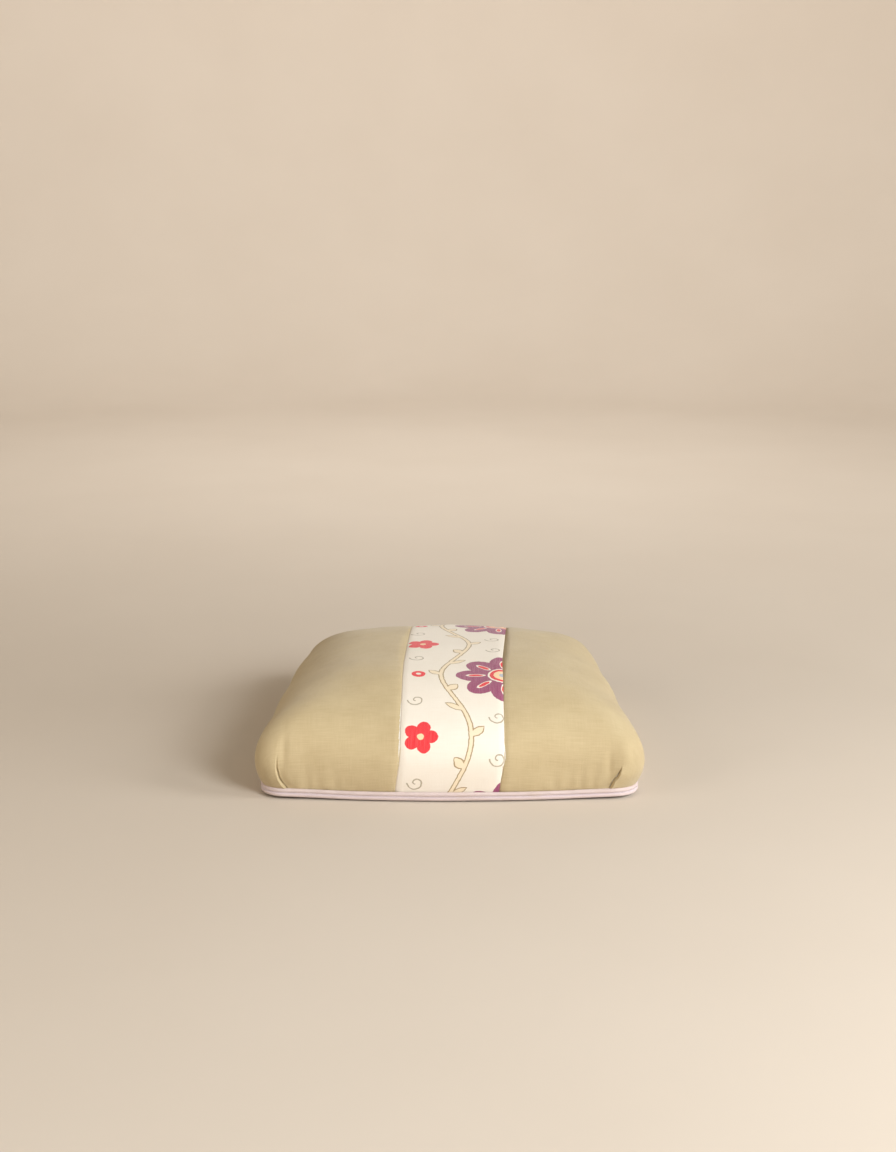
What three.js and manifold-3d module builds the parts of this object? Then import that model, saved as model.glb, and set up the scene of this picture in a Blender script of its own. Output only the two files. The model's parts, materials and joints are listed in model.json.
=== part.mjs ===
// Domed chair seat pad on its own sprung hardwood frame. Millimetres, +Z up, front faces -Y.
import * as THREE from 'three';
import Module from 'manifold-3d';

// Plan of the pad at its base.
const FRONT_HALF = 232;
const REAR_HALF = 201;
const FRONT_Y = -222.5;
const FRONT_BOW = 15;
const POST_Y = 200.5;
const TONGUE_HALF = 152;
const REAR_Y = 237.5;

// Side profile of the finished cover.
const COVER_FOOT = 2;
const TRIM_TOP = 11;
const WIDEST_Z = 46;
const SIDE_BULGE = 12;
const CORNER_BULGE = 7;
const CROWN_Z = 134;

// Layers, from the outside inwards.
const GAP = 0.3;
const COVER_T = 1.0;
const WADDING_T = 5.0;
const CALICO_T = 0.7;
const SECOND_T = 10.0;
const SCRIM_T = 0.8;

// Frame, webbing and springs.
const RAIL_LOW = 4.0;
const RAIL_TOP = 26.0;
const RAIL_W = 45;
const RAIL_INSET = 4.0;
const BACK_RAIL_FRONT = 170;
const WEB_W = 50;
const WEB_T = 1.0;
const SPRING_LOW = 5.4;
const SPRING_TOP = 58.5;
const SPRING_R = 40;
const WIRE_R = 1.5;
const SPRING_SPOTS = [[-98, -100], [98, -100], [0, 0], [-88, 96], [88, 96]];
const CORD_R = 1.0;
const ROLL_W = 40;
const CANVAS_T = 0.8;

// Double piping.
const PIPE_CORD_R = 2.0;
const PIPE_LOW_Z = 3.9;
const PIPE_STEP = 5.3;
const PIPE_OUT = 2.4;
const PIPE_SKIN_IN = 2.3;
const PIPE_SKIN_OUT = 2.9;

const COLORS = {
  linen: 0xc9b68c, print: 0xf5ecd9, piping: 0xf0e8e6, cotton: 0xe9e2d0, wadding: 0xf4f2ec,
  hair: 0x4a3a2c, hessian: 0xb08d5b, jute: 0xb59a6a, steel: 0x8d9093, timber: 0xc49a66,
  twine: 0xd8c39a, dust: 0x26262a,
};

const smooth = (v) => {
  const c = Math.min(1, Math.max(0, v));
  return c * c * (3 - 2 * c);
};

// Rounds corner b of the path a-b-c with radius r, as n + 1 points.
function corner(a, b, c, r, n) {
  const u = [a[0] - b[0], a[1] - b[1]];
  const v = [c[0] - b[0], c[1] - b[1]];
  const lu = Math.hypot(...u);
  const lv = Math.hypot(...v);
  const half = Math.acos((u[0] * v[0] + u[1] * v[1]) / (lu * lv)) / 2;
  const back = r / Math.tan(half);
  const mid = [u[0] / lu + v[0] / lv, u[1] / lu + v[1] / lv];
  const lm = Math.hypot(...mid);
  const o = [b[0] + mid[0] / lm * r / Math.sin(half), b[1] + mid[1] / lm * r / Math.sin(half)];
  const s = [b[0] + u[0] / lu * back, b[1] + u[1] / lu * back];
  const e = [b[0] + v[0] / lv * back, b[1] + v[1] / lv * back];
  const a0 = Math.atan2(s[1] - o[1], s[0] - o[0]);
  const a1 = Math.atan2(e[1] - o[1], e[0] - o[0]);
  const turn = ((a1 - a0 + 3 * Math.PI) % (2 * Math.PI)) - Math.PI;
  const pts = [];
  for (let i = 0; i <= n; i++) {
    pts.push([o[0] + r * Math.cos(a0 + turn * i / n), o[1] + r * Math.sin(a0 + turn * i / n)]);
  }
  return pts;
}

const sideHalf = (y) => FRONT_HALF - (FRONT_HALF - REAR_HALF) * (y - FRONT_Y) / (POST_Y - FRONT_Y);

// Right half of the base outline, from the middle of the front round to the middle of the back.
function basePath() {
  const front = [0, 0.2, 0.4, 0.6, 0.76, 0.88].map((f) => [
    f * FRONT_HALF, FRONT_Y - FRONT_BOW * (1 - f * f)]);
  const a = front[front.length - 1];
  const f = [FRONT_HALF, FRONT_Y];
  const s = [REAR_HALF, POST_Y];
  const n = [TONGUE_HALF, POST_Y];
  const t = [TONGUE_HALF, REAR_Y];
  const sides = [-110, -20, 80].map((y) => [sideHalf(y), y]);
  return [...front, ...corner(a, f, s, 28, 4), ...sides, ...corner(f, s, n, 22, 3),
    ...corner(s, n, t, 14, 2), ...corner(n, t, [-TONGUE_HALF, REAR_Y], 20, 3), [55, REAR_Y], [0, REAR_Y]];
}

// The same half with no post notch and wide corners, which the top follows.
function topPath() {
  const front = [0, 0.3, 0.5].map((f) => [f * FRONT_HALF, FRONT_Y - FRONT_BOW * (1 - f * f)]);
  const f = [FRONT_HALF, FRONT_Y];
  const s = [REAR_HALF, REAR_Y];
  return [...front, ...corner(front[2], f, s, 95, 8), ...corner(f, s, [0, REAR_Y], 110, 8), [0, REAR_Y]];
}

const BASE = basePath();
const TOP = topPath();

// Distance from the middle to a half outline along angle a.
function reach(path, a) {
  const dx = Math.abs(Math.cos(a));
  const dy = Math.sin(a);
  for (let i = 0; i + 1 < path.length; i++) {
    const [px, py] = path[i];
    const [qx, qy] = path[i + 1];
    const cp = dx * py - dy * px;
    const cq = dx * qy - dy * qx;
    if (cp <= 1e-9 && cq > 1e-9) {
      const t = -cp / (cq - cp);
      return Math.hypot(px + (qx - px) * t, py + (qy - py) * t);
    }
  }
  return Math.abs(path[path.length - 1][1]);
}

// One angle per outline vertex, anticlockwise from just after the back middle.
function ringAngles() {
  const right = BASE.map(([x, y]) => Math.atan2(y, x));
  const left = right.slice(1, -1).map((a) => -Math.PI - a).reverse();
  return [...left, ...right];
}
const ANGLES = ringAngles();

// How far the cover swells past its base outline: full at the sides, most at the front corners.
const CORNER_ANGLE = Math.atan2(FRONT_Y, FRONT_HALF);
const bulge = (a) => {
  const s = Math.sin(a);
  const from = Math.atan2(s, Math.abs(Math.cos(a))) - CORNER_ANGLE;
  return SIDE_BULGE * (1 - 0.55 * smooth((-s - 0.6) / 0.25)) * (1 - 0.9 * smooth((s - 0.62) / 0.1))
    + CORNER_BULGE * Math.exp(-((from / 0.17) ** 2));
};

// Radius and height of the cover at angle a; s runs 0 at the foot, 1 at the widest, 2 at the crown.
function cover(a, s) {
  const base = reach(BASE, a);
  const wide = base + bulge(a);
  if (s <= 1) {
    const z = COVER_FOOT + (WIDEST_Z - COVER_FOOT) * s;
    const up = Math.max(0, (z - TRIM_TOP) / (WIDEST_Z - TRIM_TOP));
    return [base + (wide - base) * Math.sin(up * Math.PI / 2), z];
  }
  const phi = (s - 1) * Math.PI / 2;
  const n = 2.7 + 0.9 * Math.cos(a) ** 2;
  const rho = Math.max(0, Math.cos(phi)) ** (2 / n);
  const w = smooth((1 - rho) / 0.45);
  const rim = wide * (1 - w) + (reach(TOP, a) + bulge(a) * 0.8) * w;
  return [rim * rho, WIDEST_Z + (CROWN_Z - WIDEST_Z) * Math.sin(phi)];
}

// The cover's profile moved inwards by depth along its own normal.
function inside(a, s, depth) {
  const [r, z] = cover(a, s);
  const [r0, z0] = cover(a, Math.max(0, s - 0.01));
  const [r1, z1] = cover(a, Math.min(1.99, s + 0.01));
  const l = Math.hypot(r1 - r0, z1 - z0);
  return [r - depth * (z1 - z0) / l, z + depth * (r1 - r0) / l];
}

// How far each layer lies under the cover at level s.
const wadding = (s) => 0.8 + (WADDING_T - 0.8) * smooth((s - 0.35) / 0.8);
const second = (s) => 2 + (SECOND_T - 2) * smooth((s - 0.8) / 0.9);
const D_WADDING = () => COVER_T + GAP;
const D_CALICO = (s) => D_WADDING(s) + wadding(s) + GAP;
const D_SECOND = (s) => D_CALICO(s) + CALICO_T + GAP;
const D_SCRIM = (s) => D_SECOND(s) + second(s) + GAP;
const D_FIRST = (s) => D_SCRIM(s) + SCRIM_T + GAP;

const at = (a, r, z) => [r * Math.cos(a), r * Math.sin(a), z];

// Joins rings of points into one closed body, with a fan over each end or the ends joined together.
// The first `swap` bands split their quads along the other diagonal.
function skin(name, color, rings, ends, swap = 0) {
  const m = rings[0].length;
  const pos = rings.flat(2);
  const idx = [];
  const band = (p, q) => {
    for (let i = 0; i < m; i++) {
      const j = (i + 1) % m;
      if (p < swap) idx.push(p * m + i, p * m + j, q * m + i, p * m + j, q * m + j, q * m + i);
      else idx.push(p * m + i, p * m + j, q * m + j, p * m + i, q * m + j, q * m + i);
    }
  };
  for (let k = 0; k + 1 < rings.length; k++) band(k, k + 1);
  if (ends === 'loop') {
    band(rings.length - 1, 0);
  } else {
    const mean = (ring) => [0, 1, 2].map((c) => ring.reduce((t, p) => t + p[c], 0) / m);
    const [first, last] = ends || [mean(rings[0]), mean(rings[rings.length - 1])];
    pos.push(...first, ...last);
    const base = rings.length * m;
    const off = (rings.length - 1) * m;
    for (let i = 0; i < m; i++) {
      const j = (i + 1) % m;
      idx.push(base, j, i, base + 1, off + i, off + j);
    }
  }
  let vol = 0;
  for (let i = 0; i < idx.length; i += 3) {
    const [a, b, c] = [idx[i] * 3, idx[i + 1] * 3, idx[i + 2] * 3];
    vol += pos[a] * (pos[b + 1] * pos[c + 2] - pos[b + 2] * pos[c + 1])
      + pos[a + 1] * (pos[b + 2] * pos[c] - pos[b] * pos[c + 2])
      + pos[a + 2] * (pos[b] * pos[c + 1] - pos[b + 1] * pos[c]);
  }
  if (vol < 0) idx.reverse();
  return solid(name, color, pos, idx);
}

function solid(name, color, pos, idx) {
  const geometry = new THREE.BufferGeometry();
  geometry.setAttribute('position', new THREE.Float32BufferAttribute(pos, 3));
  geometry.setIndex(idx);
  geometry.computeVertexNormals();
  const mesh = new THREE.Mesh(geometry, new THREE.MeshStandardMaterial({ color, roughness: 0.85 }));
  mesh.name = name;
  return mesh;
}

const level = (s, depth) => ANGLES.map((a) => at(a, ...inside(a, s, depth(s))));

// A cloth or stuffing layer between two depths, open below.
function layer(name, color, rows, outer, inner) {
  const rings = [...rows].reverse().map((s) => level(s, inner));
  rings.push(...rows.map((s) => level(s, outer)));
  const poles = [[0, 0, CROWN_Z - inner(2)], [0, 0, CROWN_Z - outer(2)]];
  return skin(name, color, rings, poles, rows.length - 1);
}

const HIGH_ROWS = [0.84, 1, 1.2, 1.4, 1.6, 1.8];
const COVER_ROWS = [0, 0.2045, 0.26, 0.42, 0.66, ...HIGH_ROWS];

function softLayers() {
  return [
    layer('wadding', COLORS.wadding, [0.26, 0.42, 0.66, ...HIGH_ROWS], D_WADDING,
      (s) => D_WADDING(s) + wadding(s)),
    layer('calico_lining', COLORS.cotton, [0.14, 0.26, 0.42, 0.66, ...HIGH_ROWS], D_CALICO,
      (s) => D_CALICO(s) + CALICO_T),
    layer('second_stuffing', COLORS.hair, [0.68, ...HIGH_ROWS], D_SECOND,
      (s) => D_SECOND(s) + second(s)),
    layer('scrim', COLORS.hessian, [0.66, ...HIGH_ROWS], D_SCRIM,
      (s) => D_SCRIM(s) + SCRIM_T),
  ];
}

// Plan lines of the two seams, as x at a given y.
const SEAMS = [[[-68, -260], [-61, -60], [-57, 260]], [[62, -260], [73, -60], [85, 260]]];

async function coverPanels() {
  const wasm = await Module();
  wasm.setup();
  const { Manifold, CrossSection } = wasm;
  const shell = layer('shell', COLORS.linen, COVER_ROWS, () => 0, () => COVER_T).geometry;
  const body = new Manifold(new wasm.Mesh({
    numProp: 3,
    vertProperties: new Float32Array(shell.attributes.position.array),
    triVerts: new Uint32Array(shell.index.array),
  }));
  const far = 400;
  const shift = (line, d) => line.map(([x, y]) => [x + d, y]);
  const areas = {
    cover_left_panel: [[-far, -far], [-68 - GAP / 2, -far], ...shift(SEAMS[0], -GAP / 2),
      [-57 - GAP / 2, far], [-far, far]],
    cover_centre_panel: [[-68 + GAP / 2, -far], [62 - GAP / 2, -far], ...shift(SEAMS[1], -GAP / 2),
      [85 - GAP / 2, far], [-57 + GAP / 2, far], ...shift(SEAMS[0], GAP / 2).reverse()],
    cover_right_panel: [[62 + GAP / 2, -far], [far, -far], [far, far], [85 + GAP / 2, far],
      ...shift(SEAMS[1], GAP / 2).reverse()],
  };
  return Object.entries(areas).map(([name, outline]) => {
    const wedge = Manifold.extrude(new CrossSection([outline]), 400).translate([0, 0, -100]);
    const cut = body.intersect(wedge).getMesh();
    const color = name === 'cover_centre_panel' ? COLORS.print : COLORS.linen;
    const pos = [];
    for (let i = 0; i < cut.numVert; i++) pos.push(...cut.vertProperties.slice(i * cut.numProp, i * cut.numProp + 3));
    return solid(name, color, pos, Array.from(cut.triVerts));
  });
}

// Angles from a0 to a1 that include every outline vertex between them.
function span(a0, a1) {
  const all = [-2, 0, 2].flatMap((t) => ANGLES.map((a) => a + t * Math.PI));
  const mid = all.filter((a) => a > a0 + 0.004 && a < a1 - 0.004).sort((p, q) => p - q);
  return [a0, ...mid.filter((a, i) => i === 0 || a - mid[i - 1] > 1e-6), a1];
}

// Height just below a layer's faceted underside at radius r, read along its own rows.
function under(a, r, depth) {
  const clear = 1.2;
  const line = HIGH_ROWS.map((s) => inside(a, s, depth(s)));
  line.push([0, CROWN_Z - depth(2)]);
  for (let i = 0; i + 1 < line.length; i++) {
    const [r0, z0] = line[i];
    const [r1, z1] = line[i + 1];
    if (r <= r0 && r >= r1) return z0 + (z1 - z0) * (r0 - r) / (r0 - r1) - clear;
  }
  return line[0][1] - clear;
}

const snap = (a) => ANGLES.reduce((p, q) => (Math.abs(q - a) < Math.abs(p - a) ? q : p));
const FRONT_CORNER = snap(Math.atan2(FRONT_Y, FRONT_HALF));
const REAR_CORNER = snap(Math.atan2(POST_Y, TONGUE_HALF));
const ROLL_LOW = 29.9;

// Stitched edge of the first stuffing, one firm roll per side.
function edgeRoll(name, a0, a1) {
  const rings = span(a0 + 0.001, a1 - 0.001).map((a) => {
    const inner = reach(BASE, a) - ROLL_W;
    const wall = [0.66, 0.84, 1, 1.2].map((s) => inside(a, s, D_FIRST(s)));
    return [[inner, ROLL_LOW], [wall[0][0] - 0.6, ROLL_LOW], ...wall, [inner, under(a, inner, D_FIRST)]]
      .map(([r, z]) => at(a, r, z));
  });
  return skin(name, COLORS.hair, rings);
}

function firstStuffing() {
  const ring = (f) => ANGLES.map((a) => at(a, ...f(a)));
  const edge = (a) => reach(BASE, a) - ROLL_W - 1;
  const low = 66.6;
  const centre = skin('first_stuffing_centre', COLORS.hair, [
    ring((a) => [edge(a), low]),
    ring((a) => [edge(a), under(a, edge(a), D_FIRST)]),
    level(1.6, D_FIRST),
    level(1.8, D_FIRST),
  ], [[0, 0, low], [0, 0, CROWN_Z - D_FIRST(2)]]);
  return [
    edgeRoll('edge_roll_front', -Math.PI - FRONT_CORNER, FRONT_CORNER),
    edgeRoll('edge_roll_right', FRONT_CORNER, REAR_CORNER),
    edgeRoll('edge_roll_back', REAR_CORNER, Math.PI - REAR_CORNER),
    edgeRoll('edge_roll_left', Math.PI - REAR_CORNER, Math.PI - FRONT_CORNER),
    centre,
  ];
}

// Hessian over the springs: a flange on the rails, a slope and a flat top.
function springCanvas() {
  const ring = (inset, z) => ANGLES.map((a) => at(a, reach(BASE, a) - inset, z));
  const low = 28.7;
  const top = 65.2;
  return skin('spring_canvas', COLORS.hessian, [
    ring(63, top), ring(41.5, low), ring(10, low),
    ring(10, low + CANVAS_T), ring(41, low + CANVAS_T), ring(62.4, top + CANVAS_T),
  ], [[0, 0, top], [0, 0, top + CANVAS_T]]);
}

// A round bar along a path of points, with flat ends.
function bar(name, color, path, radius, sides) {
  const rings = path.map((p, i) => {
    const q = path[Math.min(path.length - 1, i + 1)];
    const o = path[Math.max(0, i - 1)];
    const t = new THREE.Vector3(q[0] - o[0], q[1] - o[1], q[2] - o[2]).normalize();
    const u = Math.abs(t.z) > 0.9 ? new THREE.Vector3(1, 0, 0) : new THREE.Vector3(0, 0, 1);
    const v = u.clone().cross(t).normalize();
    const w = t.clone().cross(v);
    return Array.from({ length: sides }, (_, k) => {
      const c = radius * Math.cos(2 * Math.PI * k / sides);
      const s = radius * Math.sin(2 * Math.PI * k / sides);
      return [p[0] + v.x * c + w.x * s, p[1] + v.y * c + w.y * s, p[2] + v.z * c + w.z * s];
    });
  });
  return skin(name, color, rings);
}

// Hourglass coil: wide at both ends, narrow at the waist, with flat end turns.
function springs() {
  const turns = 5;
  const steps = 60;
  return SPRING_SPOTS.map(([x, y], i) => {
    const path = [];
    for (let k = 0; k <= steps; k++) {
      const f = k / steps;
      const rise = Math.min(1, Math.max(0, (f - 0.14) / 0.72));
      const r = SPRING_R * (0.58 + 0.42 * (2 * rise - 1) ** 2) - WIRE_R;
      const a = 2 * Math.PI * turns * f;
      path.push([x + r * Math.cos(a), y + r * Math.sin(a), SPRING_LOW + (SPRING_TOP - SPRING_LOW) * rise]);
    }
    return bar(`spring_${i + 1}`, COLORS.steel, path, WIRE_R, 5);
  });
}

const LASH_Z = SPRING_TOP + WIRE_R + GAP + CORD_R;

// Laid cord from rail to rail over the springs' top coils.
function lashings() {
  const lift = 2 * CORD_R + GAP;
  const foot = RAIL_TOP + GAP + CORD_R;
  const long = [[-93, -232, 'left'], [0, -237, 'middle'], [93, -232, 'right']];
  const cords = long.map(([x, front, side]) => {
    const ends = [front + 46, BACK_RAIL_FRONT + 4];
    const top = [x === 0 ? -42 : -142, x === 0 ? 42 : 138];
    return bar(`lashing_long_${side}`, COLORS.twine, [
      [x, ends[0], foot], [x, ends[0] + 4, foot + 2], [x, top[0], LASH_Z + lift],
      [x, top[1], LASH_Z + lift], [x, ends[1] - 4, foot + 2], [x, ends[1], foot],
    ], CORD_R, 6);
  });
  const rows = [[-100, 98, 'front'], [0, 0, 'middle'], [96, 88, 'rear']];
  rows.forEach(([y, x, row]) => {
    const end = sideHalf(y) - RAIL_INSET - RAIL_W + 4;
    const top = x + 42;
    cords.push(bar(`lashing_cross_${row}`, COLORS.twine, [
      [-end, y, foot], [-end + 4, y, foot + 2], [-top, y, LASH_Z], [top, y, LASH_Z],
      [end - 4, y, foot + 2], [end, y, foot],
    ], CORD_R, 6));
  });
  return cords;
}

// A flat strap along X or Y through stations of [distance, height].
function strap(name, across, along, stations) {
  const h = WEB_T / 2;
  const w = WEB_W / 2;
  const rings = stations.map(([t, z]) => [[-w, -h], [w, -h], [w, h], [-w, h]]
    .map(([c, dz]) => (along === 'x' ? [t, across + c, z + dz] : [across + c, t, z + dz])));
  return skin(name, COLORS.jute, rings);
}

// Four straps each way, woven over and under, with their ends on the rails' undersides.
function webbing() {
  const columns = [-111, -37, 37, 111];
  const rows = [-150, -60, 40, 130];
  const mid = 2.4;
  const swing = WEB_T / 2 + GAP / 2 + 0.05;
  const end = RAIL_LOW - GAP - WEB_T / 2;
  const woven = (from, to, spots, phase) => [
    [from, end], [from + 12, end],
    ...spots.flatMap((c, i) => [c - WEB_W / 2 - 2, c + WEB_W / 2 + 2]
      .map((t) => [t, mid + ((i + phase) % 2 === 0 ? swing : -swing)])),
    [to - 12, end], [to, end]];
  const names = ['a', 'b', 'c', 'd'];
  const long = columns.map((x, i) => strap(`webbing_long_${names[i]}`, x, 'y',
    woven(FRONT_Y + 10, REAR_Y - 25, rows, i)));
  const cross = rows.map((y, i) => {
    const half = sideHalf(y) - 24;
    return strap(`webbing_cross_${names[i]}`, y, 'x', woven(-half, half, columns, i + 1));
  });
  return [...long, ...cross];
}

// A rail from sections of inner and outer plan points, with eased edges.
function rail(name, sections) {
  const e = 1.2;
  const rings = sections.map(([inner, outer]) => {
    const d = [outer[0] - inner[0], outer[1] - inner[1]];
    const l = Math.hypot(...d);
    const p = (along, z) => [inner[0] + d[0] / l * along, inner[1] + d[1] / l * along, z];
    return [p(e, RAIL_LOW), p(l - e, RAIL_LOW), p(l, RAIL_LOW + e), p(l, RAIL_TOP - e),
      p(l - e, RAIL_TOP), p(e, RAIL_TOP), p(0, RAIL_TOP - e), p(0, RAIL_LOW + e)];
  });
  return skin(name, COLORS.timber, rings);
}

const FRONT_RAIL_BACK = FRONT_Y + RAIL_W;

function seatFrame() {
  const halfX = [0, 60, 120, 170, 202, 213, 220, 225];
  const frontX = [...halfX.slice(1).map((x) => -x).reverse(), ...halfX];
  const front = frontX.map((x) => {
    const bowed = FRONT_Y - FRONT_BOW * (1 - (x / FRONT_HALF) ** 2) + RAIL_INSET + 1;
    const past = Math.max(0, Math.abs(x) - 202);
    const round = FRONT_Y + 30 - Math.sqrt(25 ** 2 - past ** 2);
    return [[x, FRONT_RAIL_BACK - 6], [x, Math.max(bowed, round)]];
  });
  const sideRail = (name, sign) => {
    const ys = [FRONT_RAIL_BACK - 6 + GAP, 60, 177, 185, 190, 194];
    return rail(name, ys.map((y) => {
      const outer = sideHalf(y) - RAIL_INSET;
      const round = 18 - Math.sqrt(18 ** 2 - Math.max(0, y - 177) ** 2);
      return [[sign * (outer - RAIL_W), y], [sign * (outer - round), y]];
    }));
  };
  const innerBack = sideHalf(BACK_RAIL_FRONT) - RAIL_INSET - RAIL_W;
  const half = Math.min(innerBack, sideHalf(POST_Y) - RAIL_INSET - RAIL_W) - GAP;
  const tongue = Math.min(half, TONGUE_HALF - RAIL_INSET - 1);
  const back = [-1, -0.975, -0.935, -0.885, 0.885, 0.935, 0.975, 1].map((f) => {
    const past = Math.max(0, Math.abs(f) * tongue - tongue + 17);
    return [[f * tongue, BACK_RAIL_FRONT],
      [f * tongue, REAR_Y - RAIL_INSET - 18 + Math.sqrt(18 ** 2 - past ** 2)]];
  });
  return [
    rail('rail_front', front),
    sideRail('rail_left', -1),
    sideRail('rail_right', 1),
    rail('rail_back', back),
  ];
}

// Triangular glue blocks in the frame's inner corners.
function cornerBlocks() {
  const legs = 42;
  const innerAt = (y) => sideHalf(y) - RAIL_INSET - RAIL_W - GAP;
  const wedge = (name, sign, y, dir) => {
    const pts = [[sign * innerAt(y), y], [sign * (innerAt(y + dir * legs)), y + dir * legs],
      [sign * (innerAt(y) - legs), y]];
    return skin(name, COLORS.timber, [pts.map((p) => [...p, RAIL_LOW + 1]), pts.map((p) => [...p, RAIL_TOP - 2])]);
  };
  const frontY = FRONT_RAIL_BACK - 6 + GAP;
  const backY = BACK_RAIL_FRONT - GAP;
  return [
    wedge('corner_block_front_left', -1, frontY, 1),
    wedge('corner_block_front_right', 1, frontY, 1),
    wedge('corner_block_back_left', -1, backY, -1),
    wedge('corner_block_back_right', 1, backY, -1),
  ];
}

// Cloth that closes the underside, with a folded hem against the rails.
function dustCover() {
  const ring = (inset, z) => ANGLES.map((a) => at(a, reach(BASE, a) - inset, z));
  const t = 0.9;
  return skin('dust_cover', COLORS.dust, [
    ring(20, t), ring(18, RAIL_LOW - GAP), ring(8, RAIL_LOW - GAP), ring(8, 0), ring(20, 0),
  ], [[0, 0, t], [0, 0, 0]]);
}

// Two cords side by side and the strip of cloth folded round them.
function piping(run, a0, a1) {
  const angles = span(a0, a1);
  const line = angles.map((a) => {
    const r = reach(BASE, a);
    const e = 0.0015;
    const slope = (reach(BASE, a + e) - reach(BASE, a - e)) / (2 * e * r);
    return { a, r, n: a - Math.atan(slope) };
  });
  const place = (p, out, z) => [p.r * Math.cos(p.a) + out * Math.cos(p.n), p.r * Math.sin(p.a) + out * Math.sin(p.n), z];
  const cord = (name, z) => skin(name, COLORS.cotton, line.map((p) => [0, 1, 2, 3, 4, 5].map((k) => {
    const t = k * Math.PI / 3;
    return place(p, PIPE_OUT + PIPE_CORD_R * Math.cos(t), z + PIPE_CORD_R * Math.sin(t));
  })));
  const high = PIPE_LOW_Z + PIPE_STEP;
  const turn = [[high, 115], [high, 65], [high, 15], [high, -40], null,
    [PIPE_LOW_Z, 40], [PIPE_LOW_Z, -15], [PIPE_LOW_Z, -65], [PIPE_LOW_Z, -115]];
  const wrap = (radius, valley) => turn.map((t) => {
    if (!t) return [PIPE_OUT + valley, PIPE_LOW_Z + PIPE_STEP / 2];
    const q = t[1] * Math.PI / 180;
    return [PIPE_OUT + radius * Math.cos(q), t[0] + radius * Math.sin(q)];
  });
  const section = [...wrap(PIPE_SKIN_OUT, 1.7), ...wrap(PIPE_SKIN_IN, 1.1).reverse()];
  return [
    cord(`piping_cord_upper_${run}`, high),
    cord(`piping_cord_lower_${run}`, PIPE_LOW_Z),
    skin(`piping_cover_${run}`, COLORS.piping, line.map((p) => section.map(([o, z]) => place(p, o, z)))),
  ];
}

const group = new THREE.Group();
group.name = 'chair_seat_pad';
const SIDE_END = Math.atan2(186, sideHalf(186));
const BACK_END = Math.atan2(REAR_Y, TONGUE_HALF - 21);
group.add(
  ...seatFrame(), ...cornerBlocks(), ...webbing(), ...springs(), ...lashings(), springCanvas(),
  ...firstStuffing(), ...softLayers(), ...(await coverPanels()), dustCover(),
  ...piping('front', -Math.PI - SIDE_END, SIDE_END),
  ...piping('back', BACK_END, Math.PI - BACK_END),
);

export default group;
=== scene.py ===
# Domed chair seat pad: linen sides, printed centre strip, double piping, sprung frame inside.
# Lengths in the dictionaries are millimetres unless a name says otherwise.
import json
import math

import bpy
import numpy as np
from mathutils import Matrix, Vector


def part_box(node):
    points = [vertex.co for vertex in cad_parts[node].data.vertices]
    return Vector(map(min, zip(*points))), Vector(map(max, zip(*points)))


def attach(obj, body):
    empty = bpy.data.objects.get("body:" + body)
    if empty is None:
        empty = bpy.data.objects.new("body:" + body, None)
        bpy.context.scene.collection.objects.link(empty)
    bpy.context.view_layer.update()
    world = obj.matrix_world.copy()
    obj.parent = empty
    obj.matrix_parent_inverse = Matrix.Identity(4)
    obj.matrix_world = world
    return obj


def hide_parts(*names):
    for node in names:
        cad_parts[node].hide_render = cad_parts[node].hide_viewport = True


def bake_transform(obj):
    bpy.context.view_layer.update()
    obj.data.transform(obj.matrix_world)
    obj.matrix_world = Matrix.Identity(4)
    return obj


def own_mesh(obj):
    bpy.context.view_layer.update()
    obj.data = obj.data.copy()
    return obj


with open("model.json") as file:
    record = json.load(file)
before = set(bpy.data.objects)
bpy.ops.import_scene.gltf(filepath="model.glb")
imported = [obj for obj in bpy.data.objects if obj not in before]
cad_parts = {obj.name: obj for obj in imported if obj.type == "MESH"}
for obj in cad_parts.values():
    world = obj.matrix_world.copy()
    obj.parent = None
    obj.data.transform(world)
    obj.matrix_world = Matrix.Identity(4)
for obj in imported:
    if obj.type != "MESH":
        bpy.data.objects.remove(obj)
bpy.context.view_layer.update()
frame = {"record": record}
mm = 0.001

# camera and light
view = {"place": (-1.9, -2103.5, 735.0), "pitchDown": 13.5, "lens": 50.0}
light = {
    "key": {"place": (1700, -2300, 1500), "aim": (0, 0, 60), "size": 1100, "watts": 84, "color": (0.92, 0.965, 1.0)},
    "side": {"place": (2700, -900, 1300), "aim": (0, 0, 60), "size": 1100, "watts": 44, "color": (0.965, 0.985, 1.0)},
    "fill": {"place": (-2300, -1500, 1200), "aim": (0, 0, 60), "size": 1500, "watts": 20, "color": (1.0, 0.93, 0.85)},
    "wall": {"place": (0, 1500, 2900), "aim": (0, 5000, 1300), "size": 1800, "watts": 86, "color": (1.0, 1.0, 1.0)},
}
sky = {"color": (1.0, 0.91, 0.73), "strength": 0.32}


def placed(thing):
    # links an object to the scene
    bpy.context.scene.collection.objects.link(thing)
    return thing


def placeCamera():
    data = bpy.data.cameras.new("camera")
    data.lens = view["lens"]
    data.sensor_width = 36.0
    data.clip_end = 50.0
    camera = bpy.data.objects.new("camera", data)
    camera.location = [c * mm for c in view["place"]]
    camera.rotation_euler = (math.radians(90 - view["pitchDown"]), 0, 0)
    bpy.context.scene.camera = placed(camera)


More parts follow.
